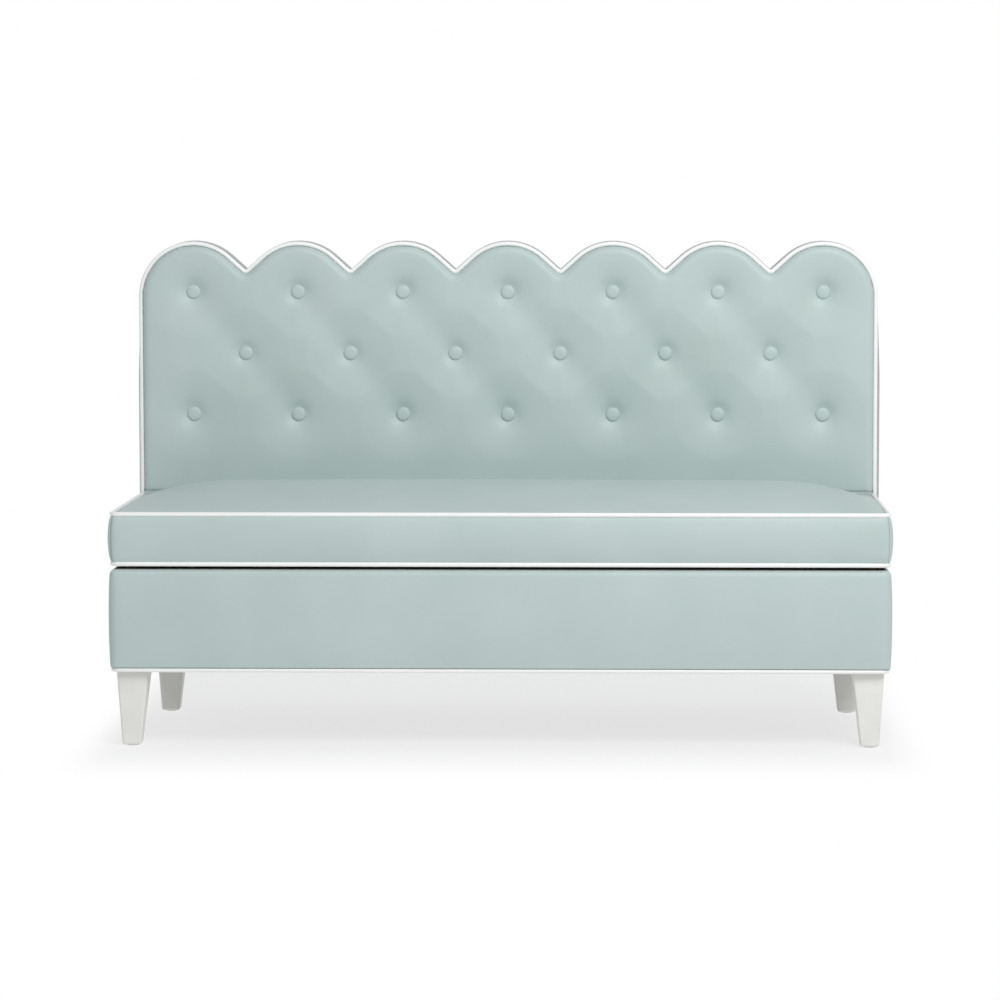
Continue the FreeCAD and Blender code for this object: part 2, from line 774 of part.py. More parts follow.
hinge_shares = [-0.74, 0.0, 0.74]
knuckles = 5
fixed_leaves = []
lid_leaves = []
pins = []
fixed_screws = []
lid_screws = []
fixed_holes = []
lid_holes = []
knuckle_length = "hinge_width / %d" % knuckles
for share in hinge_shares:
    hinge_x = "%s * half_width" % share
    start_x = hinge_x + " - hinge_width / 2"
    pin_hole = rod(
        "x",
        (start_x + " - overrun", "hinge_y", "hinge_z"),
        "hinge_pin_radius + fit_gap",
        "hinge_width + 2 * overrun",
    )
    pins.append(rod("x", (start_x, "hinge_y", "hinge_z"), "hinge_pin_radius", "hinge_width"))
    leaf_foot = "hinge_z - leaf_length"
    plate_rise = "leaf_length - knuckle_radius - 2 * knuckle_gap"
    sides = (
        ("back_foot - hinge_leaf", 0, fixed_leaves, fixed_screws, fixed_holes, "y"),
        ("lid_rear", 1, lid_leaves, lid_screws, lid_holes, "-y"),
    )
    for leaf_y, first, leaves, screws, holes, along in sides:
        solids = [box((start_x, leaf_y, leaf_foot), ("hinge_width", "hinge_leaf", plate_rise))]
        for number in range(first, knuckles, 2):
            knuckle_x = "%s + %d * %s + knuckle_gap / 2" % (start_x, number, knuckle_length)
            length = knuckle_length + " - knuckle_gap"
            foot = (knuckle_x, "hinge_y", "hinge_z")
            solids.append(rod("x", foot, "knuckle_radius", length))
            solids.append(
                box((knuckle_x, leaf_y, leaf_foot), (length, "hinge_leaf", "leaf_length"))
            )
        leaf_holes = []
        head_side = "back_foot - hinge_leaf" if along == "y" else "lid_rear + hinge_leaf"
        for side in (-1, 1):
            screw_x = "%s + %d * (hinge_width / 2 - hinge_screw_edge)" % (hinge_x, side)
            for rise in ("hinge_screw_edge", "hinge_screw_edge + hinge_screw_rise"):
                seat = (screw_x, head_side, leaf_foot + " + " + rise)
                screws.append(screw(along, seat))
                hole = screw_hole(along, seat)
                leaf_holes.append(hole)
                holes.append(hole)
        leaves.append(cut(fused(solids), [pin_hole] + leaf_holes))

keep(grouped(fixed_leaves), "hinge_fixed_leaves")
keep(grouped(lid_leaves), "hinge_lid_leaves")
keep(grouped(pins), "hinge_pins")
keep(grouped(fixed_screws), "hinge_fixed_screws")
keep(grouped(lid_screws), "hinge_lid_screws")
keep(
    cut(
        box(
            ("-board_half", "back_foot", "rim"),
            ("2 * board_half", "back_board_front - back_foot", "hinge_rail_height"),
        ),
        fixed_holes,
    ),
    "hinge_rail",
)

# Seat lid

# A plywood board with a rear rail, stiffened by battens and lined underneath. It rests
# on rubber bumpers along the rim, which leave the dark gap under the seat.

bumper_spots = [
    ("%s * board_half" % share, "front_board_face + panel / 2") for share in (-0.8, 0.0, 0.8)
]
for side in ("panel / 2 - board_half", "board_half - panel / 2"):
    for share in (0.4, 0.8):
        bumper_spots.append((side, "front + %s * seat_depth" % share))
keep(
    grouped(
        [
            rod("z", (spot_x, spot_y, "rim"), "bumper_radius", "bumper_height")
            for spot_x, spot_y in bumper_spots
        ]
    ),
    "lid_bumpers",
)

batten_screws = []
batten_holes = []
battens = []
lining_holes = []
for share in (-0.6, 0.0, 0.6):
    middle_x = "%s * board_half" % share
    batten_length = "lid_rear - lid_front - 2 * batten_inset"
    batten = box(
        (
            middle_x + " - batten_width / 2",
            "lid_front + batten_inset",
            "lid_under - lining - batten_height",
        ),
        ("batten_width", batten_length, "batten_height"),
    )
    holes = []
    for along_share in (0.1, 0.5, 0.9):
        seat = (
            middle_x,
            "lid_front + batten_inset + %s * (%s)" % (along_share, batten_length),
            "lid_under - lining - batten_height",
        )
        shank = rod("z", seat, "screw_radius", "batten_height + lining + lid_board / 2")
        head = rod("-z", seat, "screw_head_radius", "screw_head")
        batten_screws.append(fused([shank, head]))
        holes.append(
            rod("z", seat, "screw_radius + fit_gap", "batten_height + lining + lid_board / 2 + fit_gap")
        )
    battens.append(cut(batten, holes))
    batten_holes.extend(holes)
keep(grouped(battens), "lid_battens")
keep(grouped(batten_screws), "batten_screws")
keep(
    cut(
        box(
            ("-board_half", "front_board_face", "lid_under"),
            ("2 * board_half", "lid_rear - front_board_face", "lid_board"),
        ),
        batten_holes,
    ),
    "lid_board",
)
keep(
    cut(
        box(
            ("lining_inset - board_half", "front_board_face + lining_inset", "lid_under - lining"),
            (
                "2 * (board_half - lining_inset)",
                "lid_rear - front_board_face - 2 * lining_inset",
                "lining",
            ),
        ),
        batten_holes,
    ),
    "lid_lining",
)
keep(
    cut(
        box(
            ("-board_half", "lid_rear - lid_rail", "lid_top"),
            ("2 * board_half", "lid_rail", "lid_rail_height"),
        ),
        lid_holes,
    ),
    "lid_rear_rail",
)

# Seat cushion

# Foam under vinyl: boxing that swells between the two welts, and a crowned top. Its
# underside fits over the lid board and the rear rail.

# Share of the boxing's height, and its swell there as a share of the bulge
BOXING_SHARES = [(0.0, -0.7), (0.08, 0.2), (0.3, 1.0), (0.7, 1.0), (0.92, 0.2), (1.0, -0.7)]
# Share of the crown's rise, and how far the top is drawn in there as a share of the depth
CROWN_SHARES = [
    (0.08, 0.005),
    (0.25, 0.045),
    (0.49, 0.115),
    (0.72, 0.2),
    (0.88, 0.28),
    (0.97, 0.36),
    (1.0, 0.44),
]
cushion_foot = at.lid_under + at.welt_seat + at.welt / 2 + at.soft_gap
cushion_edge = at.seat_top - at.welt / 2 - at.soft_gap
lid_depth = at.lid_rear - at.front
sections = [
    plan_wire(
        cushion_foot + up_share * (cushion_edge - cushion_foot),
        swell_share * at.pad_bulge,
        at.lid_rear,
    )
    for up_share, swell_share in BOXING_SHARES
]
welt_inside = at.welt + at.soft_gap
sections.append(plan_wire(cushion_edge + at.soft_gap, -welt_inside, at.lid_rear))
sections += [
    plan_wire(
        at.seat_top + up_share * at.seat_crown,
        -in_share * lid_depth - welt_inside,
        at.lid_rear - in_share * lid_depth - at.hinge_gap,
    )
    for up_share, in_share in CROWN_SHARES
]
cushion = Part.makeLoft(sections, True, True)
for low, high in (
    (
        Vector(-at.board_half, at.front_board_face, at.lid_under),
        Vector(at.board_half, at.lid_rear + at.overrun, at.lid_top),
    ),
    (
        Vector(-at.board_half, at.lid_rear - at.lid_rail, at.lid_under),
        Vector(at.board_half, at.lid_rear + at.overrun, at.rail_top),
    ),
):
    cushion = cushion.cut(solid_box(low, high))
modelled(cushion.Solids[0], "seat_cushion")

# Write the sub-parts

doc.recompute()
failed = [o.Label for o in doc.Objects if "Invalid" in o.State or "Error" in o.State]
for piece in pieces:
    if piece.Shape.isNull() or not piece.Shape.isValid() or not piece.Shape.Solids:
        failed.append(piece.Label)
if failed:
    raise RuntimeError("failed: " + ", ".join(failed))
os.makedirs("parts", exist_ok=True)
for piece in pieces:
    piece.Shape.exportStep("parts/%s.step" % piece.Label)
    print("%-20s %3d solids %12.1f mm3" % (piece.Label, len(piece.Shape.Solids), piece.Shape.Volume))
print(len(pieces), "sub-parts")
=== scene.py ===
import math

import bmesh
import bpy
import numpy as np
from mathutils import Matrix, Vector
from mathutils.kdtree import KDTree


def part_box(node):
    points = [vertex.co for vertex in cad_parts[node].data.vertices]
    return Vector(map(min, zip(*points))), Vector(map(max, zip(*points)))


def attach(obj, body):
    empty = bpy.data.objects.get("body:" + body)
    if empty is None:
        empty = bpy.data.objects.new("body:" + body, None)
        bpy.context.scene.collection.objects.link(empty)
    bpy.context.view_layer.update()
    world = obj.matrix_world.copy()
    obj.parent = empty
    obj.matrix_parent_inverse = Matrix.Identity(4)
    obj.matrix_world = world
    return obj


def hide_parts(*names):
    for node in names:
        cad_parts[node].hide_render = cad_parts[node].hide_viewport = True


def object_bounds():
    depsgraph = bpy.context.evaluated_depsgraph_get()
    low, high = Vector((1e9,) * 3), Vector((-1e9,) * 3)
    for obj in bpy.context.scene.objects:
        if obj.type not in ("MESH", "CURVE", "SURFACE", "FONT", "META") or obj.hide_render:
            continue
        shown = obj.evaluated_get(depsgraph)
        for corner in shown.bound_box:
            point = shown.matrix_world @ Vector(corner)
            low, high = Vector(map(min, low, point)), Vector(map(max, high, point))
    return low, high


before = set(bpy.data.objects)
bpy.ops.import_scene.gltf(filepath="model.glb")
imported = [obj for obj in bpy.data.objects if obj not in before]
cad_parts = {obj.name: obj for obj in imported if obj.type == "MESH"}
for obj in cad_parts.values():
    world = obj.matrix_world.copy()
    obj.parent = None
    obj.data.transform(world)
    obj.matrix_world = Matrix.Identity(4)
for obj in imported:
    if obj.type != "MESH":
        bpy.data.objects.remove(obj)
cad_low, cad_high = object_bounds()

# Studio
# A wide pale floor under an even white sky. One large soft lamp stands high on the right in front,
# and a weak one fills the left; the camera looks slightly down from a little right of the middle.

MM = 0.001
scene = bpy.context.scene
scene.view_settings.view_transform = "Standard"


def linear(colour):
    """An sRGB hex colour as linear RGBA."""
    parts = [int(colour[i:i + 2], 16) / 255 for i in (0, 2, 4)]
    return [p / 12.92 if p <= 0.04045 else ((p + 0.055) / 1.055) ** 2.4 for p in parts] + [1.0]


def add(tree, kind, sockets=None, **settings):
    """Adds a node with its settings; each socket gets a value, or a link from another node's output."""
    made = tree.nodes.new(kind)
    for name, value in settings.items():
        setattr(made, name, value)
    for name, value in (sockets or {}).items():
        if isinstance(value, bpy.types.NodeSocket):
            tree.links.new(value, made.inputs[name])
        else:
            made.inputs[name].default_value = value
    return made


def seen_directly(tree):
    """1 for rays from the camera, and for those that mirrors and glass pass on."""
    rays = add(tree, "ShaderNodeLightPath").outputs
    seen = rays["Is Camera Ray"]
    for name in ("Is Glossy Ray", "Is Transmission Ray"):
        seen = add(tree, "ShaderNodeMath", {0: seen, 1: rays[name]}, operation="MAXIMUM").outputs[0]
    return seen


sky_light = 0.4
world = bpy.data.worlds.new("white studio")
scene.world = world
world.use_nodes = True
tree = world.node_tree
tree.nodes.clear()
lighting = add(tree, "ShaderNodeBackground", {"Color": linear("f4f6f8"), "Strength": sky_light})
backdrop = add(tree, "ShaderNodeBackground", {"Color": linear("ffffff"), "Strength": 1.0})
skies = {0: seen_directly(tree), 1: lighting.outputs[0], 2: backdrop.outputs[0]}
sky = add(tree, "ShaderNodeMixShader", skies)
add(tree, "ShaderNodeOutputWorld", {"Surface": sky.outputs[0]})

floor_radius = 60.0
floor_drop = 0.2 * MM
floor_glow = 0.745
floor_light = 0.56
mesh = bmesh.new()
bmesh.ops.create_circle(mesh, cap_ends=True, segments=96, radius=floor_radius)
floor_mesh = bpy.data.meshes.new("floor")
mesh.to_mesh(floor_mesh)
mesh.free()
floor = bpy.data.objects.new("floor", floor_mesh)
floor.location.z = -floor_drop
scene.collection.objects.link(floor)
paper = bpy.data.materials.new("white seamless paper")
paper.use_nodes = True
tree = paper.node_tree
tree.nodes.clear()

# Seen directly, the paper is white but for a painted shadow close round the bench: there it glows less, so
# it stays grey even where lit, and it also takes the real shade of the lamps.
# Its fade starts and ends so far from the shadow's middle, in metres: first to either side, then before and
# behind
shadow_middle = (0.0, 0.28, 0.0)
shadow_fades = ((0.72, 0.84), (0.58, 1.0))
shaded = add(tree, "ShaderNodeBsdfDiffuse", {"Color": linear("777778")})
lit = add(tree, "ShaderNodeEmission", {"Color": linear("ffffff"), "Strength": floor_glow})
near = add(tree, "ShaderNodeAddShader", {0: shaded.outputs[0], 1: lit.outputs[0]})
far = add(tree, "ShaderNodeEmission", {"Color": linear("ffffff"), "Strength": 1.0})
where = add(tree, "ShaderNodeTexCoord").outputs["Object"]
centred = add(tree, "ShaderNodeVectorMath", {0: where, 1: shadow_middle}, operation="SUBTRACT")
mirrored = add(tree, "ShaderNodeVectorMath", {0: centred.outputs[0]}, operation="ABSOLUTE")
distances = add(tree, "ShaderNodeSeparateXYZ", {0: mirrored.outputs[0]}).outputs
shadow = 1.0
for distance, (start, end) in zip(distances, shadow_fades):
    reach = {"Value": distance, "From Min": start, "From Max": end, "To Min": 1.0, "To Max": 0.0}
    fade = add(tree, "ShaderNodeMapRange", reach, interpolation_type="SMOOTHSTEP")
    shadow = add(tree, "ShaderNodeMath", {0: fade.outputs[0], 1: shadow}, operation="MULTIPLY").outputs[0]
seen = add(tree, "ShaderNodeMixShader", {0: shadow, 1: far.outputs[0], 2: near.outputs[0]})

# Seen by all but the camera, the paper also glows evenly: painted light thrown up so the legs aren't lost
# in the dark
plain = add(tree, "ShaderNodeBsdfDiffuse", {"Color": linear("a0a0a0")})
below = add(tree, "ShaderNodeEmission", {"Color": linear("ffffff"), "Strength": floor_light})
bounce_and_glow = add(tree, "ShaderNodeAddShader", {0: plain.outputs[0], 1: below.outputs[0]})
papers = {0: seen_directly(tree), 1: bounce_and_glow.outputs[0], 2: seen.outputs[0]}
sheet = add(tree, "ShaderNodeMixShader", papers)
add(tree, "ShaderNodeOutputMaterial", {"Surface": sheet.outputs[0]})
floor_mesh.materials.append(paper)

# Lamp name, place, side and power in watts
LAMPS = [
    ("key", (1.5, -3.0, 3.4), 1.8, 115.0),
    ("fill", (-4.5, -4.0, 2.2), 3.0, 4.0),
]
lit_point = Vector((0, 0, 0.55))
for name, place, side, power in LAMPS:
    lamp = bpy.data.lights.new(name, "AREA")
    lamp.shape = "SQUARE"
    lamp.size = side
    lamp.energy = power
    stand = bpy.data.objects.new(name, lamp)
    stand.location = place
    stand.rotation_euler = (lit_point - Vector(place)).to_track_quat("-Z", "Y").to_euler()
    scene.collection.objects.link(stand)

camera_data = bpy.data.cameras.new("camera")
camera_data.lens = 135.0
camera_data.sensor_width = 36.0
camera_data.shift_x = -0.05
camera = bpy.data.objects.new("camera", camera_data)
camera.location = (0.25, -7.503, 1.085)
aim = Vector((0.098, cad_low.y, 0.4845))
camera.rotation_euler = (aim - camera.location).to_track_quat("-Z", "Y").to_euler()
scene.collection.objects.link(camera)
scene.camera = camera

# Legs
# Four square, tapered beech legs, spray-painted white and rubbed down, so the grain just shows
# through a satin film. A hanger bolt in each top screws into a tee nut in the floor board.


def new_material(name):
    """A material with its shader, and the object's own coordinates to lay patterns out in metres."""
    material = bpy.data.materials.new(name)
    material.use_nodes = True
    tree = material.node_tree
    where = add(tree, "ShaderNodeTexCoord").outputs["Object"]
    return material, tree, tree.nodes["Principled BSDF"], where


def shades(tree, factor, dark, light, low=0.0, high=1.0):
    """A colour between two sRGB shades by a factor's reach."""
    ramp = add(tree, "ShaderNodeValToRGB", {0: factor})
    for stop, position, colour in zip(ramp.color_ramp.elements, (low, high), (dark, light)):
        stop.position = position
        stop.color = linear(colour)
    return ramp.outputs["Color"]


def dress(material, *names):
    """Gives CAD nodes a finish."""
    for name in names:
        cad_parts[name].data.materials.clear()
        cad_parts[name].data.materials.append(material)


def painted_beech():
    """White satin lacquer: even, with grain 3 mm wide along the leg just felt in the film."""
    material, tree, shader, where = new_material("white satin lacquer on beech")
    stretch = (1 / (3 * MM), 1 / (3 * MM), 1 / (70 * MM))
    along = add(tree, "ShaderNodeMapping", {"Vector": where, "Scale": stretch})
    grain = add(tree, "ShaderNodeTexNoise", {"Vector": along.outputs[0], "Scale": 1.0, "Detail": 4.0})
    cloud = add(tree, "ShaderNodeTexNoise", {"Vector": where, "Scale": 1 / (45 * MM), "Detail": 2.0})
    tint = shades(tree, cloud.outputs["Fac"], "e3e3de", "e9e9e4", 0.3, 0.7)
    raised = {"Height": grain.outputs["Fac"], "Strength": 0.25, "Distance": 0.15 * MM}
    relief = add(tree, "ShaderNodeBump", raised)
    gloss = add(tree, "ShaderNodeMapRange", {"Value": cloud.outputs["Fac"], "To Min": 0.3, "To Max": 0.42})
    tree.links.new(tint, shader.inputs["Base Color"])
    tree.links.new(gloss.outputs[0], shader.inputs["Roughness"])
    tree.links.new(relief.outputs[0], shader.inputs["Normal"])
    return material


dress(painted_beech(), "leg_front_left", "leg_front_right", "leg_rear_left", "leg_rear_right")

# Fittings
# Zinc-plated steel hardware: leg bolts and tee nuts, post bolts and nuts, hinges and screws; nylon
# glides nailed under the legs, and rubber bumpers pressed on the rim under the seat.


def zinc_plate():
    """Bright zinc plate: grey, slightly bluish, with cloudy passivation and fine rolling marks."""
    material, tree, shader, where = new_material("zinc-plated steel")
    cloud = add(tree, "ShaderNodeTexNoise", {"Vector": where, "Scale": 1 / (9 * MM), "Detail": 5.0})
    stretch = (1 / (20 * MM), 1 / (0.8 * MM), 1 / (0.8 * MM))
    along = add(tree, "ShaderNodeMapping", {"Vector": where, "Scale": stretch})
    marks = add(tree, "ShaderNodeTexNoise", {"Vector": along.outputs[0], "Scale": 1.0, "Detail": 2.0})
    tint = shades(tree, cloud.outputs["Fac"], "a9adb2", "c9cbcb", 0.3, 0.7)
    gloss = add(tree, "ShaderNodeMapRange", {"Value": cloud.outputs["Fac"], "To Min": 0.26, "To Max": 0.46})
    raised = {"Height": marks.outputs["Fac"], "Strength": 0.3, "Distance": 0.05 * MM}
    relief = add(tree, "ShaderNodeBump", raised)
    shader.inputs["Metallic"].default_value = 1.0
    tree.links.new(tint, shader.inputs["Base Color"])
    tree.links.new(gloss.outputs[0], shader.inputs["Roughness"])
    tree.links.new(relief.outputs[0], shader.inputs["Normal"])
    return material


def moulded(name, dark, light, rough, pit):
    """A moulded plastic or rubber: matt, with a fine sparked texture whose pits are given in metres."""
    material, tree, shader, where = new_material(name)
    texture = add(tree, "ShaderNodeTexNoise", {"Vector": where, "Scale": 1 / pit, "Detail": 3.0})
    tint = shades(tree, texture.outputs["Fac"], dark, light, 0.35, 0.65)
    raised = {"Height": texture.outputs["Fac"], "Strength": 0.4, "Distance": 0.1 * MM}
    relief = add(tree, "ShaderNodeBump", raised)
    shader.inputs["Roughness"].default_value = rough
    tree.links.new(tint, shader.inputs["Base Color"])
    tree.links.new(relief.outputs[0], shader.inputs["Normal"])
    return material


dress(
    zinc_plate(),
    "leg_bolts", "leg_tee_nuts", "post_bolts", "post_nuts", "hinge_fixed_leaves", "hinge_lid_leaves",
    "hinge_pins", "hinge_fixed_screws", "hinge_lid_screws", "batten_screws",
)
dress(moulded("moulded white nylon", "d6d6cf", "e2e2dc", 0.5, 0.8 * MM), "leg_glides")
dress(moulded("black rubber", "161616", "222222", 0.7, 1.0 * MM), "lid_bumpers")

# Storage box and back frame
# Birch plywood sheets, sanded and left bare inside, their plies showing along every sawn edge, with
# softwood cleats, posts, rails and battens glued and screwed between them.

AXES = "XYZ"


def grain_stretch(along, length, width):
    """Noise scales that draw a pattern out along one axis."""
    return [1 / length if axis == along else 1 / width for axis in AXES]


def plywood(across, along):
    """Birch ply: plies 1.5 mm thick across one axis, face grain 2 mm wide along another."""
    material, tree, shader, where = new_material("birch plywood, plies across " + across)
    ply = 1.5 * MM
    # A wave texture turns once in 2 pi / 20 of its scaled length
    turns = 2 * math.pi / 20 / (2 * ply)
    plies = add(tree, "ShaderNodeTexWave", {"Vector": where, "Scale": turns}, bands_direction=across)
    stretch = grain_stretch(along, 90 * MM, 2 * MM)
    drawn = add(tree, "ShaderNodeMapping", {"Vector": where, "Scale": stretch})
    fibre = {"Vector": drawn.outputs[0], "Scale": 1.0, "Detail": 5.0, "Distortion": 0.4}
    grain = add(tree, "ShaderNodeTexNoise", fibre)
    cloud = add(tree, "ShaderNodeTexNoise", {"Vector": where, "Scale": 1 / (120 * MM), "Detail": 2.0})
    face = shades(tree, grain.outputs["Fac"], "d2b589", "e6d1ab", 0.3, 0.7)
    layer = shades(tree, plies.outputs["Fac"], "c79f6e", "ffffff", 0.2, 0.75)
    tone = shades(tree, cloud.outputs["Fac"], "efe6da", "ffffff", 0.3, 0.7)
    # Plies show only on the sawn edges, which don't face along the thickness
    facing = add(tree, "ShaderNodeTexCoord").outputs["Normal"]
    apart = add(tree, "ShaderNodeSeparateXYZ", {0: facing}).outputs[across]
    flat = add(tree, "ShaderNodeMath", {0: apart}, operation="ABSOLUTE").outputs[0]
    sawn = add(tree, "ShaderNodeMath", {0: 1.0, 1: flat}, operation="SUBTRACT", use_clamp=True).outputs[0]
    layered = add(tree, "ShaderNodeMixRGB", {0: sawn, 1: face, 2: layer}, blend_type="MULTIPLY")
    toned = add(tree, "ShaderNodeMixRGB", {0: 1.0, 1: layered.outputs[0], 2: tone}, blend_type="MULTIPLY")
    raised = {"Height": grain.outputs["Fac"], "Strength": 0.35, "Distance": 0.15 * MM}
    relief = add(tree, "ShaderNodeBump", raised)
    shader.inputs["Roughness"].default_value = 0.62
    tree.links.new(toned.outputs[0], shader.inputs["Base Color"])
    tree.links.new(relief.outputs[0], shader.inputs["Normal"])
    return material


def softwood(along):
    """Planed spruce: growth rings 5 mm apart drawn out along the piece, with fine fibre between."""
    material, tree, shader, where = new_material("planed spruce along " + along)
    stretch = grain_stretch(along, 600 * MM, 12 * MM)
    drawn = add(tree, "ShaderNodeMapping", {"Vector": where, "Scale": stretch})
    warp = add(tree, "ShaderNodeTexNoise", {"Vector": drawn.outputs[0], "Scale": 1.0, "Detail": 2.0})
    rings = add(tree, "ShaderNodeMath", {0: warp.outputs["Fac"], 1: 9.0}, operation="MULTIPLY")
    saw = add(tree, "ShaderNodeMath", {0: rings.outputs[0]}, operation="FRACT")
    thin = grain_stretch(along, 60 * MM, 1.2 * MM)
    fine = add(tree, "ShaderNodeMapping", {"Vector": where, "Scale": thin})
    fibre = add(tree, "ShaderNodeTexNoise", {"Vector": fine.outputs[0], "Scale": 1.0, "Detail": 3.0})
    wood = shades(tree, saw.outputs[0], "d9b37c", "bd8d55", 0.45, 1.0)
    shade = shades(tree, fibre.outputs["Fac"], "e6dccd", "ffffff", 0.3, 0.7)
    mixed = add(tree, "ShaderNodeMixRGB", {0: 1.0, 1: wood, 2: shade}, blend_type="MULTIPLY")
    raised = {"Height": fibre.outputs["Fac"], "Strength": 0.3, "Distance": 0.15 * MM}
    relief = add(tree, "ShaderNodeBump", raised)
    shader.inputs["Roughness"].default_value = 0.58
    tree.links.new(mixed.outputs[0], shader.inputs["Base Color"])
    tree.links.new(relief.outputs[0], shader.inputs["Normal"])
    return material


def nonwoven():
    """Spunbonded black cloth: matt, point-bonded in a grid drawn at 3 mm, coarser than the real 1.5 mm."""
    material, tree, shader, where = new_material("black spunbonded cloth")
    dots = add(tree, "ShaderNodeTexVoronoi", {"Vector": where, "Scale": 1 / (3 * MM), "Randomness": 0.25})
    fluff = add(tree, "ShaderNodeTexNoise", {"Vector": where, "Scale": 1 / (14 * MM), "Detail": 4.0})
    tint = shades(tree, fluff.outputs["Fac"], "121213", "242526", 0.35, 0.7)
    raised = {"Height": dots.outputs["Distance"], "Strength": 0.5, "Distance": 0.3 * MM}
    relief = add(tree, "ShaderNodeBump", raised)
    shader.inputs["Roughness"].default_value = 0.9
    tree.links.new(tint, shader.inputs["Base Color"])
    tree.links.new(relief.outputs[0], shader.inputs["Normal"])
    return material


dress(plywood("Z", "X"), "floor_board", "lid_board")
dress(plywood("Y", "X"), "front_panel", "rear_panel", "back_board")
dress(plywood("X", "Y"), "left_panel", "right_panel")
dress(
    softwood("Z"),
    "corner_cleats", "post_left_outer", "post_left_inner", "post_right_inner", "post_right_outer",
)
dress(softwood("X"), "top_rail", "hinge_rail", "lid_rear_rail")
dress(softwood("Y"), "lid_battens")
lining_cloth = nonwoven()
dress(lining_cloth, "dust_cover", "lid_lining")
dress(moulded("waxed linen twine", "cfc5a8", "e0d8bf", 0.8, 0.6 * MM), "button_ties")

# Padded covers of the base
# Aqua vinyl over 12 mm of foam on the box's front and ends. It is stapled under the floor behind the
# welt, rolls over the rim of the box, and is seamed just behind each front corner.


def straight(travel, count):
    """A straight run of a route, in so many steps."""
    step = Vector(travel) / count
    return {"cent": Vector(), "axis": Vector((0, 0, 1)), "angle": 0.0, "dvec": step, "steps": count}


def bend(centre, axis, turn, count):
    """A bend of a route round a centre, in degrees and so many steps."""
    angle = math.radians(turn)
    return {"cent": Vector(centre), "axis": Vector(axis), "angle": angle, "dvec": Vector(), "steps": count}


def carry(mesh, profile, route):
    """Draws a profile out along the straight runs and bends of a route, and returns its far end."""
    for stretch in route:
        profile = bmesh.ops.spin(mesh, geom=profile, use_duplicate=False, **stretch)["geom_last"]
    return profile


def closed_profile(mesh, points):
    """A closed outline through points, as the vertices and edges that carry() draws out."""
    corners = [mesh.verts.new(point) for point in points]
    return corners + [mesh.edges.new((corners[i - 1], corners[i])) for i in range(len(corners))]


def close_ends(mesh):
    """Closes each open end of a tube with a face."""
    open_edges = [edge for edge in mesh.edges if len(edge.link_faces) < 2]
    bmesh.ops.holes_fill(mesh, edges=open_edges, sides=0)


def piece_from(mesh, name, material):
    """The finished mesh as an object at the origin, smooth, with its faces outwards."""
    bmesh.ops.recalc_face_normals(mesh, faces=mesh.faces)
    data = bpy.data.meshes.new(name)
    mesh.to_mesh(data)
    mesh.free()
    data.shade_smooth()
    data.materials.append(material)
    piece = bpy.data.objects.new(name, data)
    scene.collection.objects.link(piece)
    return piece


def points_of(data):
    """A mesh's vertices as rows of numbers."""
    flat = np.empty(len(data.vertices) * 3, np.float32)
    data.vertices.foreach_get("co", flat)
    return flat.reshape(-1, 3).astype(float)


def move_points(data, points):
    """Puts a mesh's vertices at these rows of numbers."""
    data.vertices.foreach_set("co", np.asarray(points, np.float32).ravel())
    data.update()


def swell(piece, sewn, reach, pressure=4.0, ease=0):
    """Fills a cover: cloth under air pressure, held where it is sewn; no point moves past its reach.
    Easing evens out the swell between neighbours, so that a wide panel takes no puckers."""
    rest = points_of(piece.data)
    held = piece.vertex_groups.new(name="sewn")
    held.add([int(i) for i in np.flatnonzero(sewn)], 1.0, "REPLACE")
    stuffing = piece.modifiers.new("stuffing", "CLOTH")
    cloth = stuffing.settings
    cloth.vertex_group_mass = held.name
    cloth.use_pressure = True
    cloth.uniform_pressure_force = pressure
    cloth.effector_weights.gravity = 0.0
    stuffing.collision_settings.use_collision = False
    last_frame = 20
    stuffing.point_cache.frame_start = 1
    stuffing.point_cache.frame_end = last_frame
    for number in range(1, last_frame + 1):
        scene.frame_set(number)
    filled = points_of(piece.evaluated_get(bpy.context.evaluated_depsgraph_get()).data)
    piece.modifiers.remove(stuffing)
    piece.vertex_groups.remove(held)
    scene.frame_set(1)
    moved = filled - rest
    ends = np.empty(len(piece.data.edges) * 2, np.int32)
    piece.data.edges.foreach_get("vertices", ends)
    one, other = ends[0::2], ends[1::2]
    neighbours = np.bincount(ends, minlength=len(rest))[:, None]
    for turn in range(ease):
        total = np.zeros_like(moved)
        np.add.at(total, one, moved[other])
        np.add.at(total, other, moved[one])
        moved = np.where(sewn[:, None], 0.0, total / neighbours)
    far = np.maximum(np.linalg.norm(moved, axis=1, keepdims=True), 1e-9)
    move_points(piece.data, rest + moved * reach * np.tanh(far / reach) / far)


def soften(piece):
    """One level of subdivision over a sewn cover."""
    smooth = piece.modifiers.new("smooth", "SUBSURF")
    smooth.levels = 1
    smooth.render_levels = 1


def leathercloth(name, dark, light):
    """Expanded vinyl on a knitted back: satin, embossed with a hide grain. The grain is drawn at
    2.4 mm, coarser than the real 1 mm, so that it shows; broad clouds vary tone and gloss a little."""
    material, tree, shader, where = new_material(name)
    warp = add(tree, "ShaderNodeTexNoise", {"Vector": where, "Scale": 1 / (11 * MM), "Detail": 2.0})
    pebble = {"Vector": where, "Scale": 1 / (2.4 * MM), "Smoothness": 0.6}
    grain = add(tree, "ShaderNodeTexVoronoi", pebble, feature="SMOOTH_F1")
    cloud = add(tree, "ShaderNodeTexNoise", {"Vector": where, "Scale": 1 / (160 * MM), "Detail": 3.0})
    tint = shades(tree, cloud.outputs["Fac"], dark, light, 0.3, 0.7)
    gloss = add(tree, "ShaderNodeMapRange", {"Value": warp.outputs["Fac"], "To Min": 0.48, "To Max": 0.58})
    raised = {"Height": grain.outputs["Distance"], "Strength": 0.12, "Distance": 0.3 * MM}
    relief = add(tree, "ShaderNodeBump", raised)
    tree.links.new(tint, shader.inputs["Base Color"])
    tree.links.new(gloss.outputs[0], shader.inputs["Roughness"])
    tree.links.new(relief.outputs[0], shader.inputs["Normal"])
    return material


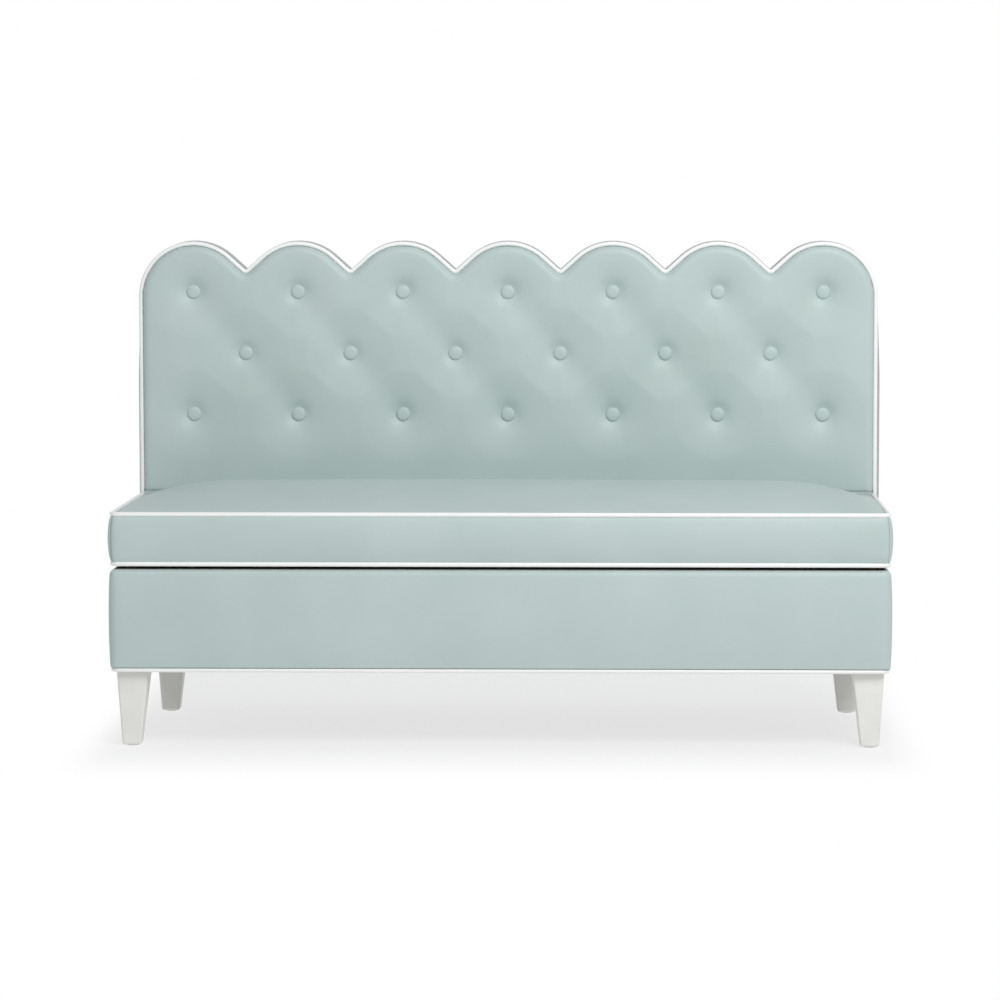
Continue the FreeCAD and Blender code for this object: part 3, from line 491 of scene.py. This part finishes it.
aqua = leathercloth("aqua leathercloth", "b5c5c2", "bbcac8")
gap = 0.3 * MM
welt_low, welt_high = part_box("base_welt")
cover_low, cover_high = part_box("front_cover")
panel_low, panel_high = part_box("front_panel")
half_width = welt_high.x
front = welt_low.y
welt = welt_high.z - welt_low.z
corner = 15 * MM
seam_y = cover_high.y
cover_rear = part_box("left_cover")[1].y
padding = panel_low.y - front
bulge = front - cover_low.y
foot = cover_low.z
rim = panel_high.z
roll = 13 * MM
tuck = 1.5 * MM

# The cover's outline, as how far it stands out of the welt line and its height; it swells as a sine
# does over most of half a turn, squared off a little
roll_start = rim - roll
skin_steps = 10
skin_start, skin_turn = 0.08, 0.8
skin_square = 0.6
skin_swell = 0.55 * bulge
COVER_OUTLINE = []
# A row close above the foot, and one close behind it, keep its edge crisp where it meets the welt
close_share = 0.006
close_behind = 1 * MM
for share in [0.0, close_share] + [step / skin_steps for step in range(1, skin_steps + 1)]:
    turned = math.pi * (skin_start + skin_turn * share)
    out = -tuck + (tuck + skin_swell) * math.sin(turned) ** skin_square
    COVER_OUTLINE.append((out, foot + share * (roll_start - foot)))
foot_out = COVER_OUTLINE[0][0]
roll_out = COVER_OUTLINE[-1][0]
roll_steps = 5
for step in range(1, roll_steps + 1):
    turn = math.radians(90 * step / roll_steps)
    COVER_OUTLINE.append((roll_out - roll * (1 - math.cos(turn)), roll_start + roll * math.sin(turn)))
COVER_OUTLINE += [(gap - padding, rim), (gap - padding, foot), (foot_out - close_behind, foot)]
seam_depth = 2.5 * MM


def pinch(ring, inwards, depth):
    """Draws the outer side of an end ring in, where it is seamed to the next panel."""
    corners = [item for item in ring if isinstance(item, bmesh.types.BMVert)]
    far = max(-vert.co.dot(inwards) for vert in corners)
    for vert in corners:
        share = max(0.0, 1 - (far + vert.co.dot(inwards)) / (padding - 2 * tuck))
        vert.co += inwards * depth * share


def wrap(name, outline, start, outwards, route, seams, body, node):
    """A padded cover drawn along a route: its outline starts at a point, facing outwards."""
    mesh = bmesh.new()
    up = Vector((0, 0, 1))
    ring = closed_profile(mesh, [start + outwards * out + up * height for out, height in outline])
    last = carry(mesh, ring, route)
    for end, inwards in zip((ring, last), seams):
        if inwards is not None:
            pinch(end, inwards, seam_depth)
    close_ends(mesh)
    piece = piece_from(mesh, name, aqua)
    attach(piece, body)
    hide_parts(node)
    return piece


left, right, ahead = Vector((-1, 0, 0)), Vector((1, 0, 0)), Vector((0, -1, 0))
UP = (0, 0, 1)
bend_y = front + corner
# How many cells of mesh a cover has along the front, round a corner and along an end
front_cells, corner_cells, end_cells = 110, 8, 42


def front_route(start_y, end_y, straights, turns):
    """Along the welt line from the left end round both front corners to the right end."""
    corner_x = half_width - corner
    ends = max(2, round(straights * (start_y - bend_y) / half_width / 2))
    return [
        straight((0, bend_y - start_y, 0), ends),
        bend((-corner_x, bend_y, 0), UP, 90, turns),
        straight((2 * corner_x, 0, 0), straights),
        bend((corner_x, bend_y, 0), UP, 90, turns),
        straight((0, end_y - bend_y, 0), ends),
    ]


base_covers = [
    wrap(
        "front_cover_vinyl", COVER_OUTLINE, Vector((-half_width, seam_y, 0)), left,
        front_route(seam_y, seam_y, front_cells, corner_cells), (right, left), "base", "front_cover",
    ),
    wrap(
        "left_cover_vinyl", COVER_OUTLINE, Vector((-half_width, cover_rear, 0)), left,
        [straight((0, seam_y - cover_rear, 0), end_cells)], (None, right), "base", "left_cover",
    ),
    wrap(
        "right_cover_vinyl", COVER_OUTLINE, Vector((half_width, cover_rear, 0)), right,
        [straight((0, seam_y - cover_rear, 0), end_cells)], (None, left), "base", "right_cover",
    ),
]
# The cloth is held so near a seam, where it touches an end, and over the inner side, which is glued
seam_hold = 4 * MM
touching = 1 * MM
inner_share = 0.9
cover_reach = 4 * MM
for piece in base_covers:
    points = points_of(piece.data)
    out = np.maximum(np.abs(points[:, 0]) - half_width, front - points[:, 1])
    at_seam = np.abs(points[:, 1] - seam_y) < touching
    at_end = points[:, 1] > cover_rear - touching
    glued = out < gap - inner_share * padding
    held = glued | (points[:, 2] < foot + seam_hold) | (points[:, 2] > roll_start)
    swell(piece, held | at_seam | at_end, cover_reach)
    soften(piece)

# Gap shade strip
# A strip of the black lining cloth laid flat along the tops of the box's front and end panels, over the raw
# edge of the cover:
# a dark sheet that is painted shade, standing for the shadow in the gap under the seat.

shade_strip_thick = 0.8 * MM
shade_strip_width = panel_high.y - panel_low.y
shade_strip_x = half_width - padding
end_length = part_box("hinge_rail")[0].y - gap - panel_high.y
end_middle = panel_high.y + end_length / 2
GAP_SHADE_STRIPS = [
    ((0, panel_low.y + shade_strip_width / 2), (2 * shade_strip_x, shade_strip_width)),
    ((shade_strip_width / 2 - shade_strip_x, end_middle), (shade_strip_width, end_length)),
    ((shade_strip_x - shade_strip_width / 2, end_middle), (shade_strip_width, end_length)),
]
mesh = bmesh.new()
for (x, y), (wide, deep) in GAP_SHADE_STRIPS:
    place = Matrix.LocRotScale((x, y, rim + gap + shade_strip_thick / 2), None, (wide, deep, shade_strip_thick))
    bmesh.ops.create_cube(mesh, size=1.0, matrix=place)
gap_shade_strip = piece_from(mesh, "gap_shade_strip", lining_cloth)
gap_shade_strip.data.shade_flat()
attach(gap_shade_strip, "base")

# Base welt
# White vinyl sewn round a 9 mm cord and stapled along the lower edge of the base, round both front
# corners; its flange is caught under the cover.


def smooth_vinyl(name, dark, light):
    """Plain vinyl, finer than the aqua: satin, only faintly uneven where it is drawn tight."""
    material, tree, shader, where = new_material(name)
    cloud = add(tree, "ShaderNodeTexNoise", {"Vector": where, "Scale": 1 / (60 * MM), "Detail": 2.0})
    pull = add(tree, "ShaderNodeTexNoise", {"Vector": where, "Scale": 1 / (7 * MM), "Detail": 3.0})
    tint = shades(tree, cloud.outputs["Fac"], dark, light, 0.3, 0.7)
    raised = {"Height": pull.outputs["Fac"], "Strength": 0.15, "Distance": 0.4 * MM}
    relief = add(tree, "ShaderNodeBump", raised)
    shader.inputs["Roughness"].default_value = 0.4
    tree.links.new(tint, shader.inputs["Base Color"])
    tree.links.new(relief.outputs[0], shader.inputs["Normal"])
    return material


white = smooth_vinyl("white vinyl", "f3f5f3", "f8f9f8")


def piping(name, start, along, route, body, node):
    """Piping drawn along a route from a start point."""
    mesh = bmesh.new()
    turn = Vector((0, 0, 1)).rotation_difference(along).to_matrix().to_4x4()
    place = Matrix.Translation(start) @ turn
    corners = bmesh.ops.create_circle(mesh, segments=14, radius=welt / 2, matrix=place)["verts"]
    ring = corners + [edge for edge in mesh.edges]
    carry(mesh, ring, route)
    close_ends(mesh)
    piece = piece_from(mesh, name, white)
    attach(piece, body)
    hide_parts(node)
    return piece


welt_in = welt / 2
piping_front_cells, piping_end_cells = 80, 30


def edge_piping(name, height, rear_end, body, node):
    """Piping along both ends and the front of the bench, at one height."""
    start = Vector((welt_in - half_width, rear_end, height))
    corner_x = half_width - welt_in - corner
    turn_y = front + welt_in + corner
    route = [
        straight((0, turn_y - rear_end, 0), piping_end_cells),
        bend((-corner_x, turn_y, 0), UP, 90, corner_cells),
        straight((2 * corner_x, 0, 0), piping_front_cells),
        bend((corner_x, turn_y, 0), UP, 90, corner_cells),
        straight((0, rear_end - turn_y, 0), piping_end_cells),
    ]
    return piping(name, start, ahead, route, body, node)


edge_piping("base_piping", (welt_low.z + welt_high.z) / 2, welt_high.y, "base", "base_welt")

# Back pad
# Foam on the scalloped board under aqua vinyl, which rolls over to the welt and is drawn down at
# twenty covered buttons in rows of seven, six and seven; the cover swells softly between them.

SCALLOPS = 7
flank = 42
valley_radius = 8 * MM
edge_low, edge_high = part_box("back_welt")
pad_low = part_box("back_pad")[0]
button_low, button_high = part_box("buttons")
edge_half = edge_high.x - welt / 2
crest = edge_high.z - welt / 2
edge_foot = edge_low.z
edge_y = (edge_low.y + edge_high.y) / 2
pitch = 2 * edge_half / SCALLOPS
crest_radius = pitch / 2
shoulder = crest - crest_radius
AXIS_Y = (0, 1, 0)
AGAINST_Y = (0, -1, 0)
# Steps at a fineness of 1: over an end scallop, over any other, along a flank and round a valley
END_STEPS, CREST_STEPS, FLANK_STEPS, VALLEY_STEPS = 10, 7, 2, 4


def over_scallops(fineness):
    """The back's edge from its left shoulder over the scallops to its right one."""
    lean = math.radians(flank)
    valley_z = shoulder + (crest_radius + valley_radius - pitch / 2 * math.sin(lean)) / math.cos(lean)
    run = (pitch / 2 - (crest_radius + valley_radius) * math.sin(lean)) / math.cos(lean)
    fall = Vector((math.cos(lean), 0, -math.sin(lean))) * run
    climb = Vector((math.cos(lean), 0, math.sin(lean))) * run
    route = []
    for number in range(SCALLOPS):
        middle = (number - (SCALLOPS - 1) / 2) * pitch
        at_end = number in (0, SCALLOPS - 1)
        turn = flank + 90 if at_end else 2 * flank
        count = round(fineness * (END_STEPS if at_end else CREST_STEPS))
        route.append(bend((middle, 0, shoulder), AXIS_Y, turn, count))
        if number < SCALLOPS - 1:
            route.append(straight(fall, round(FLANK_STEPS * fineness)))
            valley_at = (middle + pitch / 2, 0, valley_z)
            route.append(bend(valley_at, AGAINST_Y, 2 * flank, round(VALLEY_STEPS * fineness)))
            route.append(straight(climb, round(FLANK_STEPS * fineness)))
    return route


BUTTON_ROWS = 3
button_span = button_high.x - button_low.x
button_size = button_span - (SCALLOPS - 1) * pitch
top_row = button_high.z - button_size / 2
row_step = (button_high.z - button_low.z - button_size) / (BUTTON_ROWS - 1)
buttons_at = []
for row in range(BUTTON_ROWS):
    count = SCALLOPS - row % 2
    for number in range(count):
        buttons_at.append(((number - (count - 1) / 2) * pitch, top_row - row * row_step))

pad_face = pad_low.y
under_welt = 0.2 * MM
pad_edge = welt / 2 - under_welt
pad_foot = pad_low.z
pad_roll = 12 * MM
foot_roll = 3 * MM
rear_margin = 1 * MM
pad_behind = edge_high.y - rear_margin
voxel = 6 * MM
mesh = bmesh.new()
start = mesh.verts.new((pad_edge - edge_half, pad_behind, pad_foot))
rise = shoulder - pad_foot
side_steps = 100
pad_fineness = 5
outline = [straight((0, 0, rise), side_steps)] + over_scallops(pad_fineness)
outline.append(straight((0, 0, -rise), side_steps))
carry(mesh, [start], outline)
edge_line = [vert.co.copy() for vert in mesh.verts]
foot_left, foot_right = edge_line[0], edge_line[-1]
foot_steps = 400
for step in range(1, foot_steps):
    edge_line.append(foot_left.lerp(foot_right, step / foot_steps))
mesh.verts.ensure_lookup_table()
sheet = mesh.faces.new(mesh.verts)
front_side = bmesh.ops.extrude_face_region(mesh, geom=[sheet])["geom"]
moved = [item for item in front_side if isinstance(item, bmesh.types.BMVert)]
bmesh.ops.translate(mesh, verts=moved, vec=(0, pad_face - pad_behind, 0))
back_pad = piece_from(mesh, "back_pad_vinyl", aqua)


def bake(piece):
    """Makes what the modifiers show the piece's own mesh."""
    shown = piece.evaluated_get(bpy.context.evaluated_depsgraph_get())
    data = bpy.data.meshes.new_from_object(shown)
    piece.modifiers.clear()
    piece.data = data
    data.name = piece.name
    data.shade_smooth()


even = back_pad.modifiers.new("even", "REMESH")
even.mode = "VOXEL"
even.voxel_size = voxel
bake(back_pad)

# The hidden rear is cut off, and closed again with one flat face once the cover is filled
rear_cut = 3 * MM
mesh = bmesh.new()
mesh.from_mesh(back_pad.data)
everything = mesh.verts[:] + mesh.edges[:] + mesh.faces[:]
bmesh.ops.bisect_plane(
    mesh, geom=everything, plane_co=(0, pad_behind - rear_cut, 0), plane_no=(0, 1, 0), clear_outer=True,
)
mesh.to_mesh(back_pad.data)
mesh.free()

rim_points = KDTree(len(edge_line))
for number, point in enumerate(edge_line):
    rim_points.insert((point.x, 0, point.z), number)
rim_points.balance()
points = points_of(back_pad.data)
from_edge = np.array([rim_points.find((x, 0, z))[2] for x, y, z in points])
to_button = np.full(len(points), 1.0)
tuft_reach = 92 * MM
tuft_seat = 13 * MM
tuft_lip = 11 * MM
wide_share, close_dent = 0.84, 0.16
puff = 5 * MM
puff_reach = 60 * MM
puff_square = 0.6
puff_foot = 220 * MM
button_bedding = 1 * MM
tuft_depth = button_high.y - pad_face + puff - button_bedding
dent = np.zeros(len(points))
for x, z in buttons_at:
    away = np.hypot(points[:, 0] - x, points[:, 2] - z)
    to_button = np.minimum(to_button, away)
    wide = np.log(tuft_reach / np.maximum(away, tuft_seat)) / math.log(tuft_reach / tuft_seat)
    close = np.exp(-(np.maximum(away - tuft_seat, 0) / tuft_lip) ** 2)
    dent = np.maximum(dent, wide_share * np.clip(wide, 0, 1) + close_dent * close)

# A soft valley runs between each two neighbours on the slant
bottom_row = button_low.z + button_size / 2
valley_depth = 4.5 * MM
valley_width = 34 * MM
link = math.hypot(pitch / 2, row_step)
valley = np.zeros(len(points))
for x, z in buttons_at:
    for side in (-1, 1):
        if abs(x + side * pitch / 2) > edge_half - pitch / 2 + gap or z - row_step < bottom_row - gap:
            continue
        run_x, run_z = side * pitch / 2 / link, -row_step / link
        along = np.clip((points[:, 0] - x) * run_x + (points[:, 2] - z) * run_z, 0, link)
        off = np.hypot(points[:, 0] - x - along * run_x, points[:, 2] - z - along * run_z)
        valley = np.maximum(valley, np.exp(-(off / valley_width) ** 2))
# The roll follows the welt, and the foot keeps a closer one
leeway = 0.1 * MM
from_foot = np.maximum(points[:, 2] - pad_foot, 0)
at_foot = from_foot < from_edge + leeway
rolled = np.clip(1 - from_edge / np.where(at_foot, foot_roll, pad_roll), 0, 1)
# The puff eases off towards the foot, which the open seat's rear comes close to
up_from_foot = np.clip((points[:, 2] - pad_foot) / puff_foot, 0, 1)
eased = up_from_foot ** 2 * (3 - 2 * up_from_foot)
puffed = puff * np.clip(from_edge / puff_reach, 0, 1) ** puff_square * eased
pad_drop = edge_y - pad_face
sunk = (tuft_depth - puff + puffed) * dent + valley_depth * valley * (1 - dent)
face = pad_face - puffed + pad_drop * (1 - np.sqrt(1 - rolled ** 2)) + sunk
depth_share = np.clip((pad_behind - points[:, 1]) / (pad_behind - pad_face), 0, 1)
points[:, 1] = pad_behind - depth_share * (pad_behind - face)
move_points(back_pad.data, points)
glued_height = 60 * MM
glued_share = 0.6
pad_reach = 4 * MM
glued_foot = points[:, 2] < pad_foot + glued_height
held = (depth_share < glued_share) | (from_edge < voxel) | (to_button < tuft_seat) | glued_foot
swell(back_pad, held, pad_reach, pressure=2.5, ease=40)
soften(back_pad)
bake(back_pad)
mesh = bmesh.new()
mesh.from_mesh(back_pad.data)
close_ends(mesh)
mesh.to_mesh(back_pad.data)
mesh.free()
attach(back_pad, "base")
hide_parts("back_pad")

# Pull-down of the back's cover
# The cover's lower edge is drawn down behind the seat and tacked to the hinge rail, in four lengths
# between the hinges, so that no wood shows over the rear of the seat.

rail_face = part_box("hinge_rail")[0].y
pin_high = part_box("hinge_pins")[1]
hinge_length = 90 * MM
clearance = 3 * MM
hinge_outer = pin_high.x + clearance
hinge_inner = pin_high.x - hinge_length - clearance
hinge_half = hinge_length / 2 + clearance
pull_face = pad_face + gap
pull_lap = 2.5 * MM
pull_margin = 1 * MM
pull_top = pad_foot + pull_lap
pull_length = 70 * MM
pull_foot = pull_top - pull_length
mesh = bmesh.new()
for start, end in ((hinge_half, hinge_inner), (hinge_outer, edge_half - welt_in - pull_margin)):
    for side in (-1, 1):
        middle = (side * (start + end) / 2, (pull_face + rail_face - gap) / 2, (pull_top + pull_foot) / 2)
        extent = (end - start, rail_face - gap - pull_face, pull_top - pull_foot)
        bmesh.ops.create_cube(mesh, size=1.0, matrix=Matrix.LocRotScale(middle, None, extent))
pull = piece_from(mesh, "back_cover_pull_down", aqua)
pull.data.shade_flat()
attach(pull, "base")

# Buttons
# Twenty two-part buttons covered in the same vinyl: a shallow dome with a rolled rim, tied down with
# twine through the foam to a washer behind the board.

button_radius = button_size / 2
button_seat = button_high.y
button_rise = button_high.y - button_low.y
# Radius and rise along the dome, as shares of the button's own
BUTTON_SHARES = [
    (0.0, 1.0), (0.45, 0.98), (0.75, 0.88), (0.92, 0.66),
    (1.0, 0.38), (0.97, 0.12), (0.88, 0.0), (0.0, 0.0),
]
mesh = bmesh.new()
for x, z in buttons_at:
    line = []
    for radius_share, rise_share in BUTTON_SHARES:
        spot = (x + radius_share * button_radius, button_seat - rise_share * button_rise, z)
        line.append(mesh.verts.new(spot))
    edges = [mesh.edges.new(pair) for pair in zip(line, line[1:])]
    bmesh.ops.spin(
        mesh, geom=line + edges, cent=(x, 0, z), axis=AXIS_Y, angle=2 * math.pi, steps=24,
        use_merge=True, use_duplicate=False,
    )
bmesh.ops.remove_doubles(mesh, verts=mesh.verts, dist=0.01 * MM)
buttons = piece_from(mesh, "covered_buttons", aqua)
soften(buttons)
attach(buttons, "base")
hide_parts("buttons")

# Back welt and boxing
# White piping sewn round the front edge of the back, and a vinyl band over thin foam behind it along the
# scallops and down both ends, seamed at the shoulders.
# The band's grey is painted shade: white vinyl drawn as it looks in shadow.

edge_fineness = 2.4
side_cells = 40
edge_route = [straight((0, 0, shoulder - edge_foot), side_cells)] + over_scallops(edge_fineness)
edge_route.append(straight((0, 0, edge_foot - shoulder), side_cells))
piping("back_piping", Vector((-edge_half, edge_y, edge_foot)), Vector(UP), edge_route, "base", "back_welt")

# Grey standing for white vinyl in shadow: painted shade on the band
painted_shade_grey = smooth_vinyl("grey vinyl as white in shade", "a3a6a4", "a9acaa")
band_lap_share = 0.3
band_front = edge_y + band_lap_share * welt
band_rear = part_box("boxing_top")[1].y
band_bulge = 6 * MM
band_tuck = 3 * MM
band_square = 0.55
end_filling = 160 * MM
band_inside = padding - gap
band_steps = 10
band_side_cells = 34


def band_outline(base):
    """The band's outline at the left foot of a run: bulged outside, flat against the boards."""
    outline = []
    for step in range(band_steps + 1):
        share = step / band_steps
        out = -band_tuck + (band_tuck + band_bulge) * math.sin(math.pi * share) ** band_square
        outline.append(base + Vector((-out, band_front + share * (band_rear - band_front), 0)))
    outline.append(base + Vector((band_inside, band_rear, 0)))
    outline.append(base + Vector((band_inside, edge_high.y + gap, 0)))
    return outline


BANDS = [
    ("left_band_vinyl", "boxing_left", -1, [straight((0, 0, shoulder - edge_foot), band_side_cells)]),
    ("top_band_vinyl", "boxing_top", -1, over_scallops(edge_fineness)),
    ("right_band_vinyl", "boxing_right", 1, [straight((0, 0, shoulder - edge_foot), band_side_cells)]),
]
for name, node, side, route in BANDS:
    mesh = bmesh.new()
    base_z = shoulder if node == "boxing_top" else edge_foot
    outline = band_outline(Vector((-edge_half, 0, base_z)))
    carry(mesh, closed_profile(mesh, outline), route)
    close_ends(mesh)
    # Down the ends the band is filled out to twice the bulge, from the shoulder on
    for vert in mesh.verts:
        fuller = min(max((shoulder - vert.co.z) / end_filling, 0), 1)
        vert.co.x -= fuller * max(-edge_half - vert.co.x, 0)
    if side > 0:
        bmesh.ops.scale(mesh, vec=(-1, 1, 1), verts=mesh.verts)
    band = piece_from(mesh, name, painted_shade_grey)
    soften(band)
    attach(band, "base")
    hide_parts(node)

# Outside back
# A hardboard sheet covered in the same aqua vinyl, its edge turned over and stapled, pressed on over
# the rear panel with hidden tack strip. The vinyl hangs over the floor board's edge.

sheet_low, sheet_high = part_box("outside_back")
sheet_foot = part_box("dust_cover")[0].z
turned_edge = 2 * MM
mesh = bmesh.new()
start = mesh.verts.new((sheet_low.x, sheet_low.y, sheet_foot))
rise = shoulder - sheet_foot
outline = [straight((0, 0, rise), 1)] + over_scallops(edge_fineness) + [straight((0, 0, -rise), 1)]
carry(mesh, [start], outline)
mesh.verts.ensure_lookup_table()
sheet = mesh.faces.new(mesh.verts)
rear_side = bmesh.ops.extrude_face_region(mesh, geom=[sheet])["geom"]
moved = [item for item in rear_side if isinstance(item, bmesh.types.BMVert)]
bmesh.ops.translate(mesh, verts=moved, vec=(0, sheet_high.y - sheet_low.y, 0))
rear_edges = [edge for edge in mesh.edges if all(vert.co.y > sheet_high.y - gap for vert in edge.verts)]
bmesh.ops.bevel(
    mesh, geom=rear_edges, offset=turned_edge, offset_type="OFFSET", affect="EDGES", segments=4,
    profile=0.5, material=-1,
)
outside_back = piece_from(mesh, "outside_back_vinyl", aqua)
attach(outside_back, "base")
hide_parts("outside_back")

# Seat boxing
# The upright band of the seat, aqua vinyl over foam between the two seat welts, in three lengths that
# are seamed at the front corners.

upper_low, upper_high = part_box("seat_upper_welt")
lower_low, lower_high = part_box("seat_lower_welt")
lid_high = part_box("lid_board")[1]
rail_low, rail_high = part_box("lid_rear_rail")
seat_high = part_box("seat_cushion")[1]
upper_seam = (upper_low.z + upper_high.z) / 2
lower_seam = (lower_low.z + lower_high.z) / 2
seat_rear = rail_high.y
boxing_steps = 12
boxing_square = 0.45
boxing_swell = 0.6 * bulge
BOXING_OUTLINE = []
for step in range(boxing_steps + 1):
    share = step / boxing_steps
    out = -welt_in + (welt_in + boxing_swell) * math.sin(math.pi * share) ** boxing_square
    BOXING_OUTLINE.append((out, lower_seam + share * (upper_seam - lower_seam)))
BOXING_OUTLINE += [(gap - padding, upper_seam - gap), (gap - padding, lower_seam + gap)]
corner_x = half_width - corner
half_turn = math.sqrt(0.5)
diagonal_left = Vector((half_turn, half_turn, 0))
diagonal_right = Vector((-half_turn, half_turn, 0))
seat_end_cells = 38
half_corner_cells = corner_cells // 2
end_run = [straight((0, bend_y - seat_rear, 0), seat_end_cells)]
corner_left = [bend((-corner_x, bend_y, 0), UP, 45, half_corner_cells)]
corner_right = [bend((corner_x, bend_y, 0), UP, -45, half_corner_cells)]
across = [
    bend((-corner_x, bend_y, 0), UP, 45, half_corner_cells),
    straight((2 * corner_x, 0, 0), front_cells),
    bend((corner_x, bend_y, 0), UP, 45, half_corner_cells),
]
corner_start = Vector((-corner_x - corner * half_turn, bend_y - corner * half_turn, 0))
seat_covers = [
    wrap(
        "seat_front_boxing", BOXING_OUTLINE, corner_start, -diagonal_left, across,
        (diagonal_left, diagonal_right), "seat_lid", "seat_cushion",
    ),
    wrap(
        "seat_left_boxing", BOXING_OUTLINE, Vector((-half_width, seat_rear, 0)), left,
        end_run + corner_left, (None, diagonal_left), "seat_lid", "seat_cushion",
    ),
    wrap(
        "seat_right_boxing", BOXING_OUTLINE, Vector((half_width, seat_rear, 0)), right,
        end_run + corner_right, (None, diagonal_right), "seat_lid", "seat_cushion",
    ),
]
boxing_reach = 3 * MM
for piece in seat_covers:
    points = points_of(piece.data)
    out = np.maximum(np.abs(points[:, 0]) - half_width, front - points[:, 1])
    near_seam = np.minimum(points[:, 2] - lower_seam, upper_seam - points[:, 2]) < seam_hold
    at_end = points[:, 1] > seat_rear - touching
    from_corner = np.abs((np.abs(points[:, 0]) - corner_x) + (points[:, 1] - bend_y))
    at_corner = (from_corner < touching) & (points[:, 1] < bend_y)
    glued = out < gap - inner_share * padding
    swell(piece, near_seam | at_end | at_corner | glued, boxing_reach)
    soften(piece)

# Seat pad
# The foam block of the seat under its crowned aqua top, which is sewn to the boxing at the upper welt.
# It sits on the lid board and over the lid's rear rail.

seat_crown = seat_high.z - upper_seam
block_half = half_width - padding - gap
block_front = front + padding + gap
ledge = upper_seam - welt / 2 - gap
top_half = half_width - welt_in
top_front = front + welt_in
rear_roll = 12 * MM
top_rear = seat_rear - rear_roll
rail_front = rail_low.y - gap
BLOCK = [
    (block_front, lid_high.z + gap),
    (rail_front, lid_high.z + gap),
    (rail_front, rail_high.z + gap),
    (seat_rear - gap, rail_high.z + gap),
    (seat_rear - gap, ledge),
    (top_rear, upper_seam),
    (top_front, upper_seam),
    (block_front, ledge),
]
mesh = bmesh.new()
end_face = mesh.faces.new([mesh.verts.new((-block_half, y, z)) for y, z in BLOCK])
far_end = bmesh.ops.extrude_face_region(mesh, geom=[end_face])["geom"]
moved = [item for item in far_end if isinstance(item, bmesh.types.BMVert)]
bmesh.ops.translate(mesh, verts=moved, vec=(2 * block_half, 0, 0))
for vert in mesh.verts:
    if vert.co.z > upper_seam - gap:
        vert.co.x = math.copysign(top_half, vert.co.x)
cells_along = 120
cells_deep = 40
half_depth = (top_rear - top_front) / 2
lengthwise = [edge for edge in mesh.edges if edge.verts[0].co.x * edge.verts[1].co.x < 0]
bmesh.ops.subdivide_edges(mesh, edges=lengthwise, cuts=cells_along - 1, use_grid_fill=True)
on_top = [edge for edge in mesh.edges if all(vert.co.z > upper_seam - gap for vert in edge.verts)]
crosswise = [edge for edge in on_top if abs(edge.verts[0].co.y - edge.verts[1].co.y) > half_depth]
bmesh.ops.subdivide_edges(mesh, edges=crosswise, cuts=cells_deep - 1, use_grid_fill=True)
crown_share = 0.44
crown_reach = crown_share * (seat_rear - front)
# The rear rises more gently, to clear the back when the seat is lifted
full_rise = 2.3
gentle_rise = 1.4


def rise_share(distance, fullness):
    """How much of the crown's height is reached so far in from a seam."""
    return 1 - (1 - min(distance / crown_reach, 1)) ** fullness


corner_pull = corner * (1 - half_turn)
for vert in mesh.verts:
    if vert.co.z > upper_seam - gap:
        from_end = top_half - abs(vert.co.x)
        from_front = vert.co.y - top_front
        from_rear = top_rear - vert.co.y
        if from_end < gap and from_front < gap:
            vert.co.x -= math.copysign(corner_pull, vert.co.x)
            vert.co.y += corner_pull
        depthwise = min(rise_share(from_front, full_rise), rise_share(from_rear, gentle_rise))
        vert.co.z += seat_crown * max(rise_share(from_end, full_rise) * depthwise, 0.0)
seat_pad = piece_from(mesh, "seat_pad_vinyl", aqua)
points = points_of(seat_pad.data)
top_reach = 6 * MM
swell(seat_pad, points[:, 2] < upper_seam + touching, top_reach)
soften(seat_pad)
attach(seat_pad, "seat_lid")
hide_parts("seat_cushion")

# Seat welts
# White piping sewn into both seams of the seat's boxing, along its ends and front.

edge_piping("seat_upper_piping", upper_seam, upper_high.y, "seat_lid", "seat_upper_welt")
edge_piping("seat_lower_piping", lower_seam, lower_high.y, "seat_lid", "seat_lower_welt")
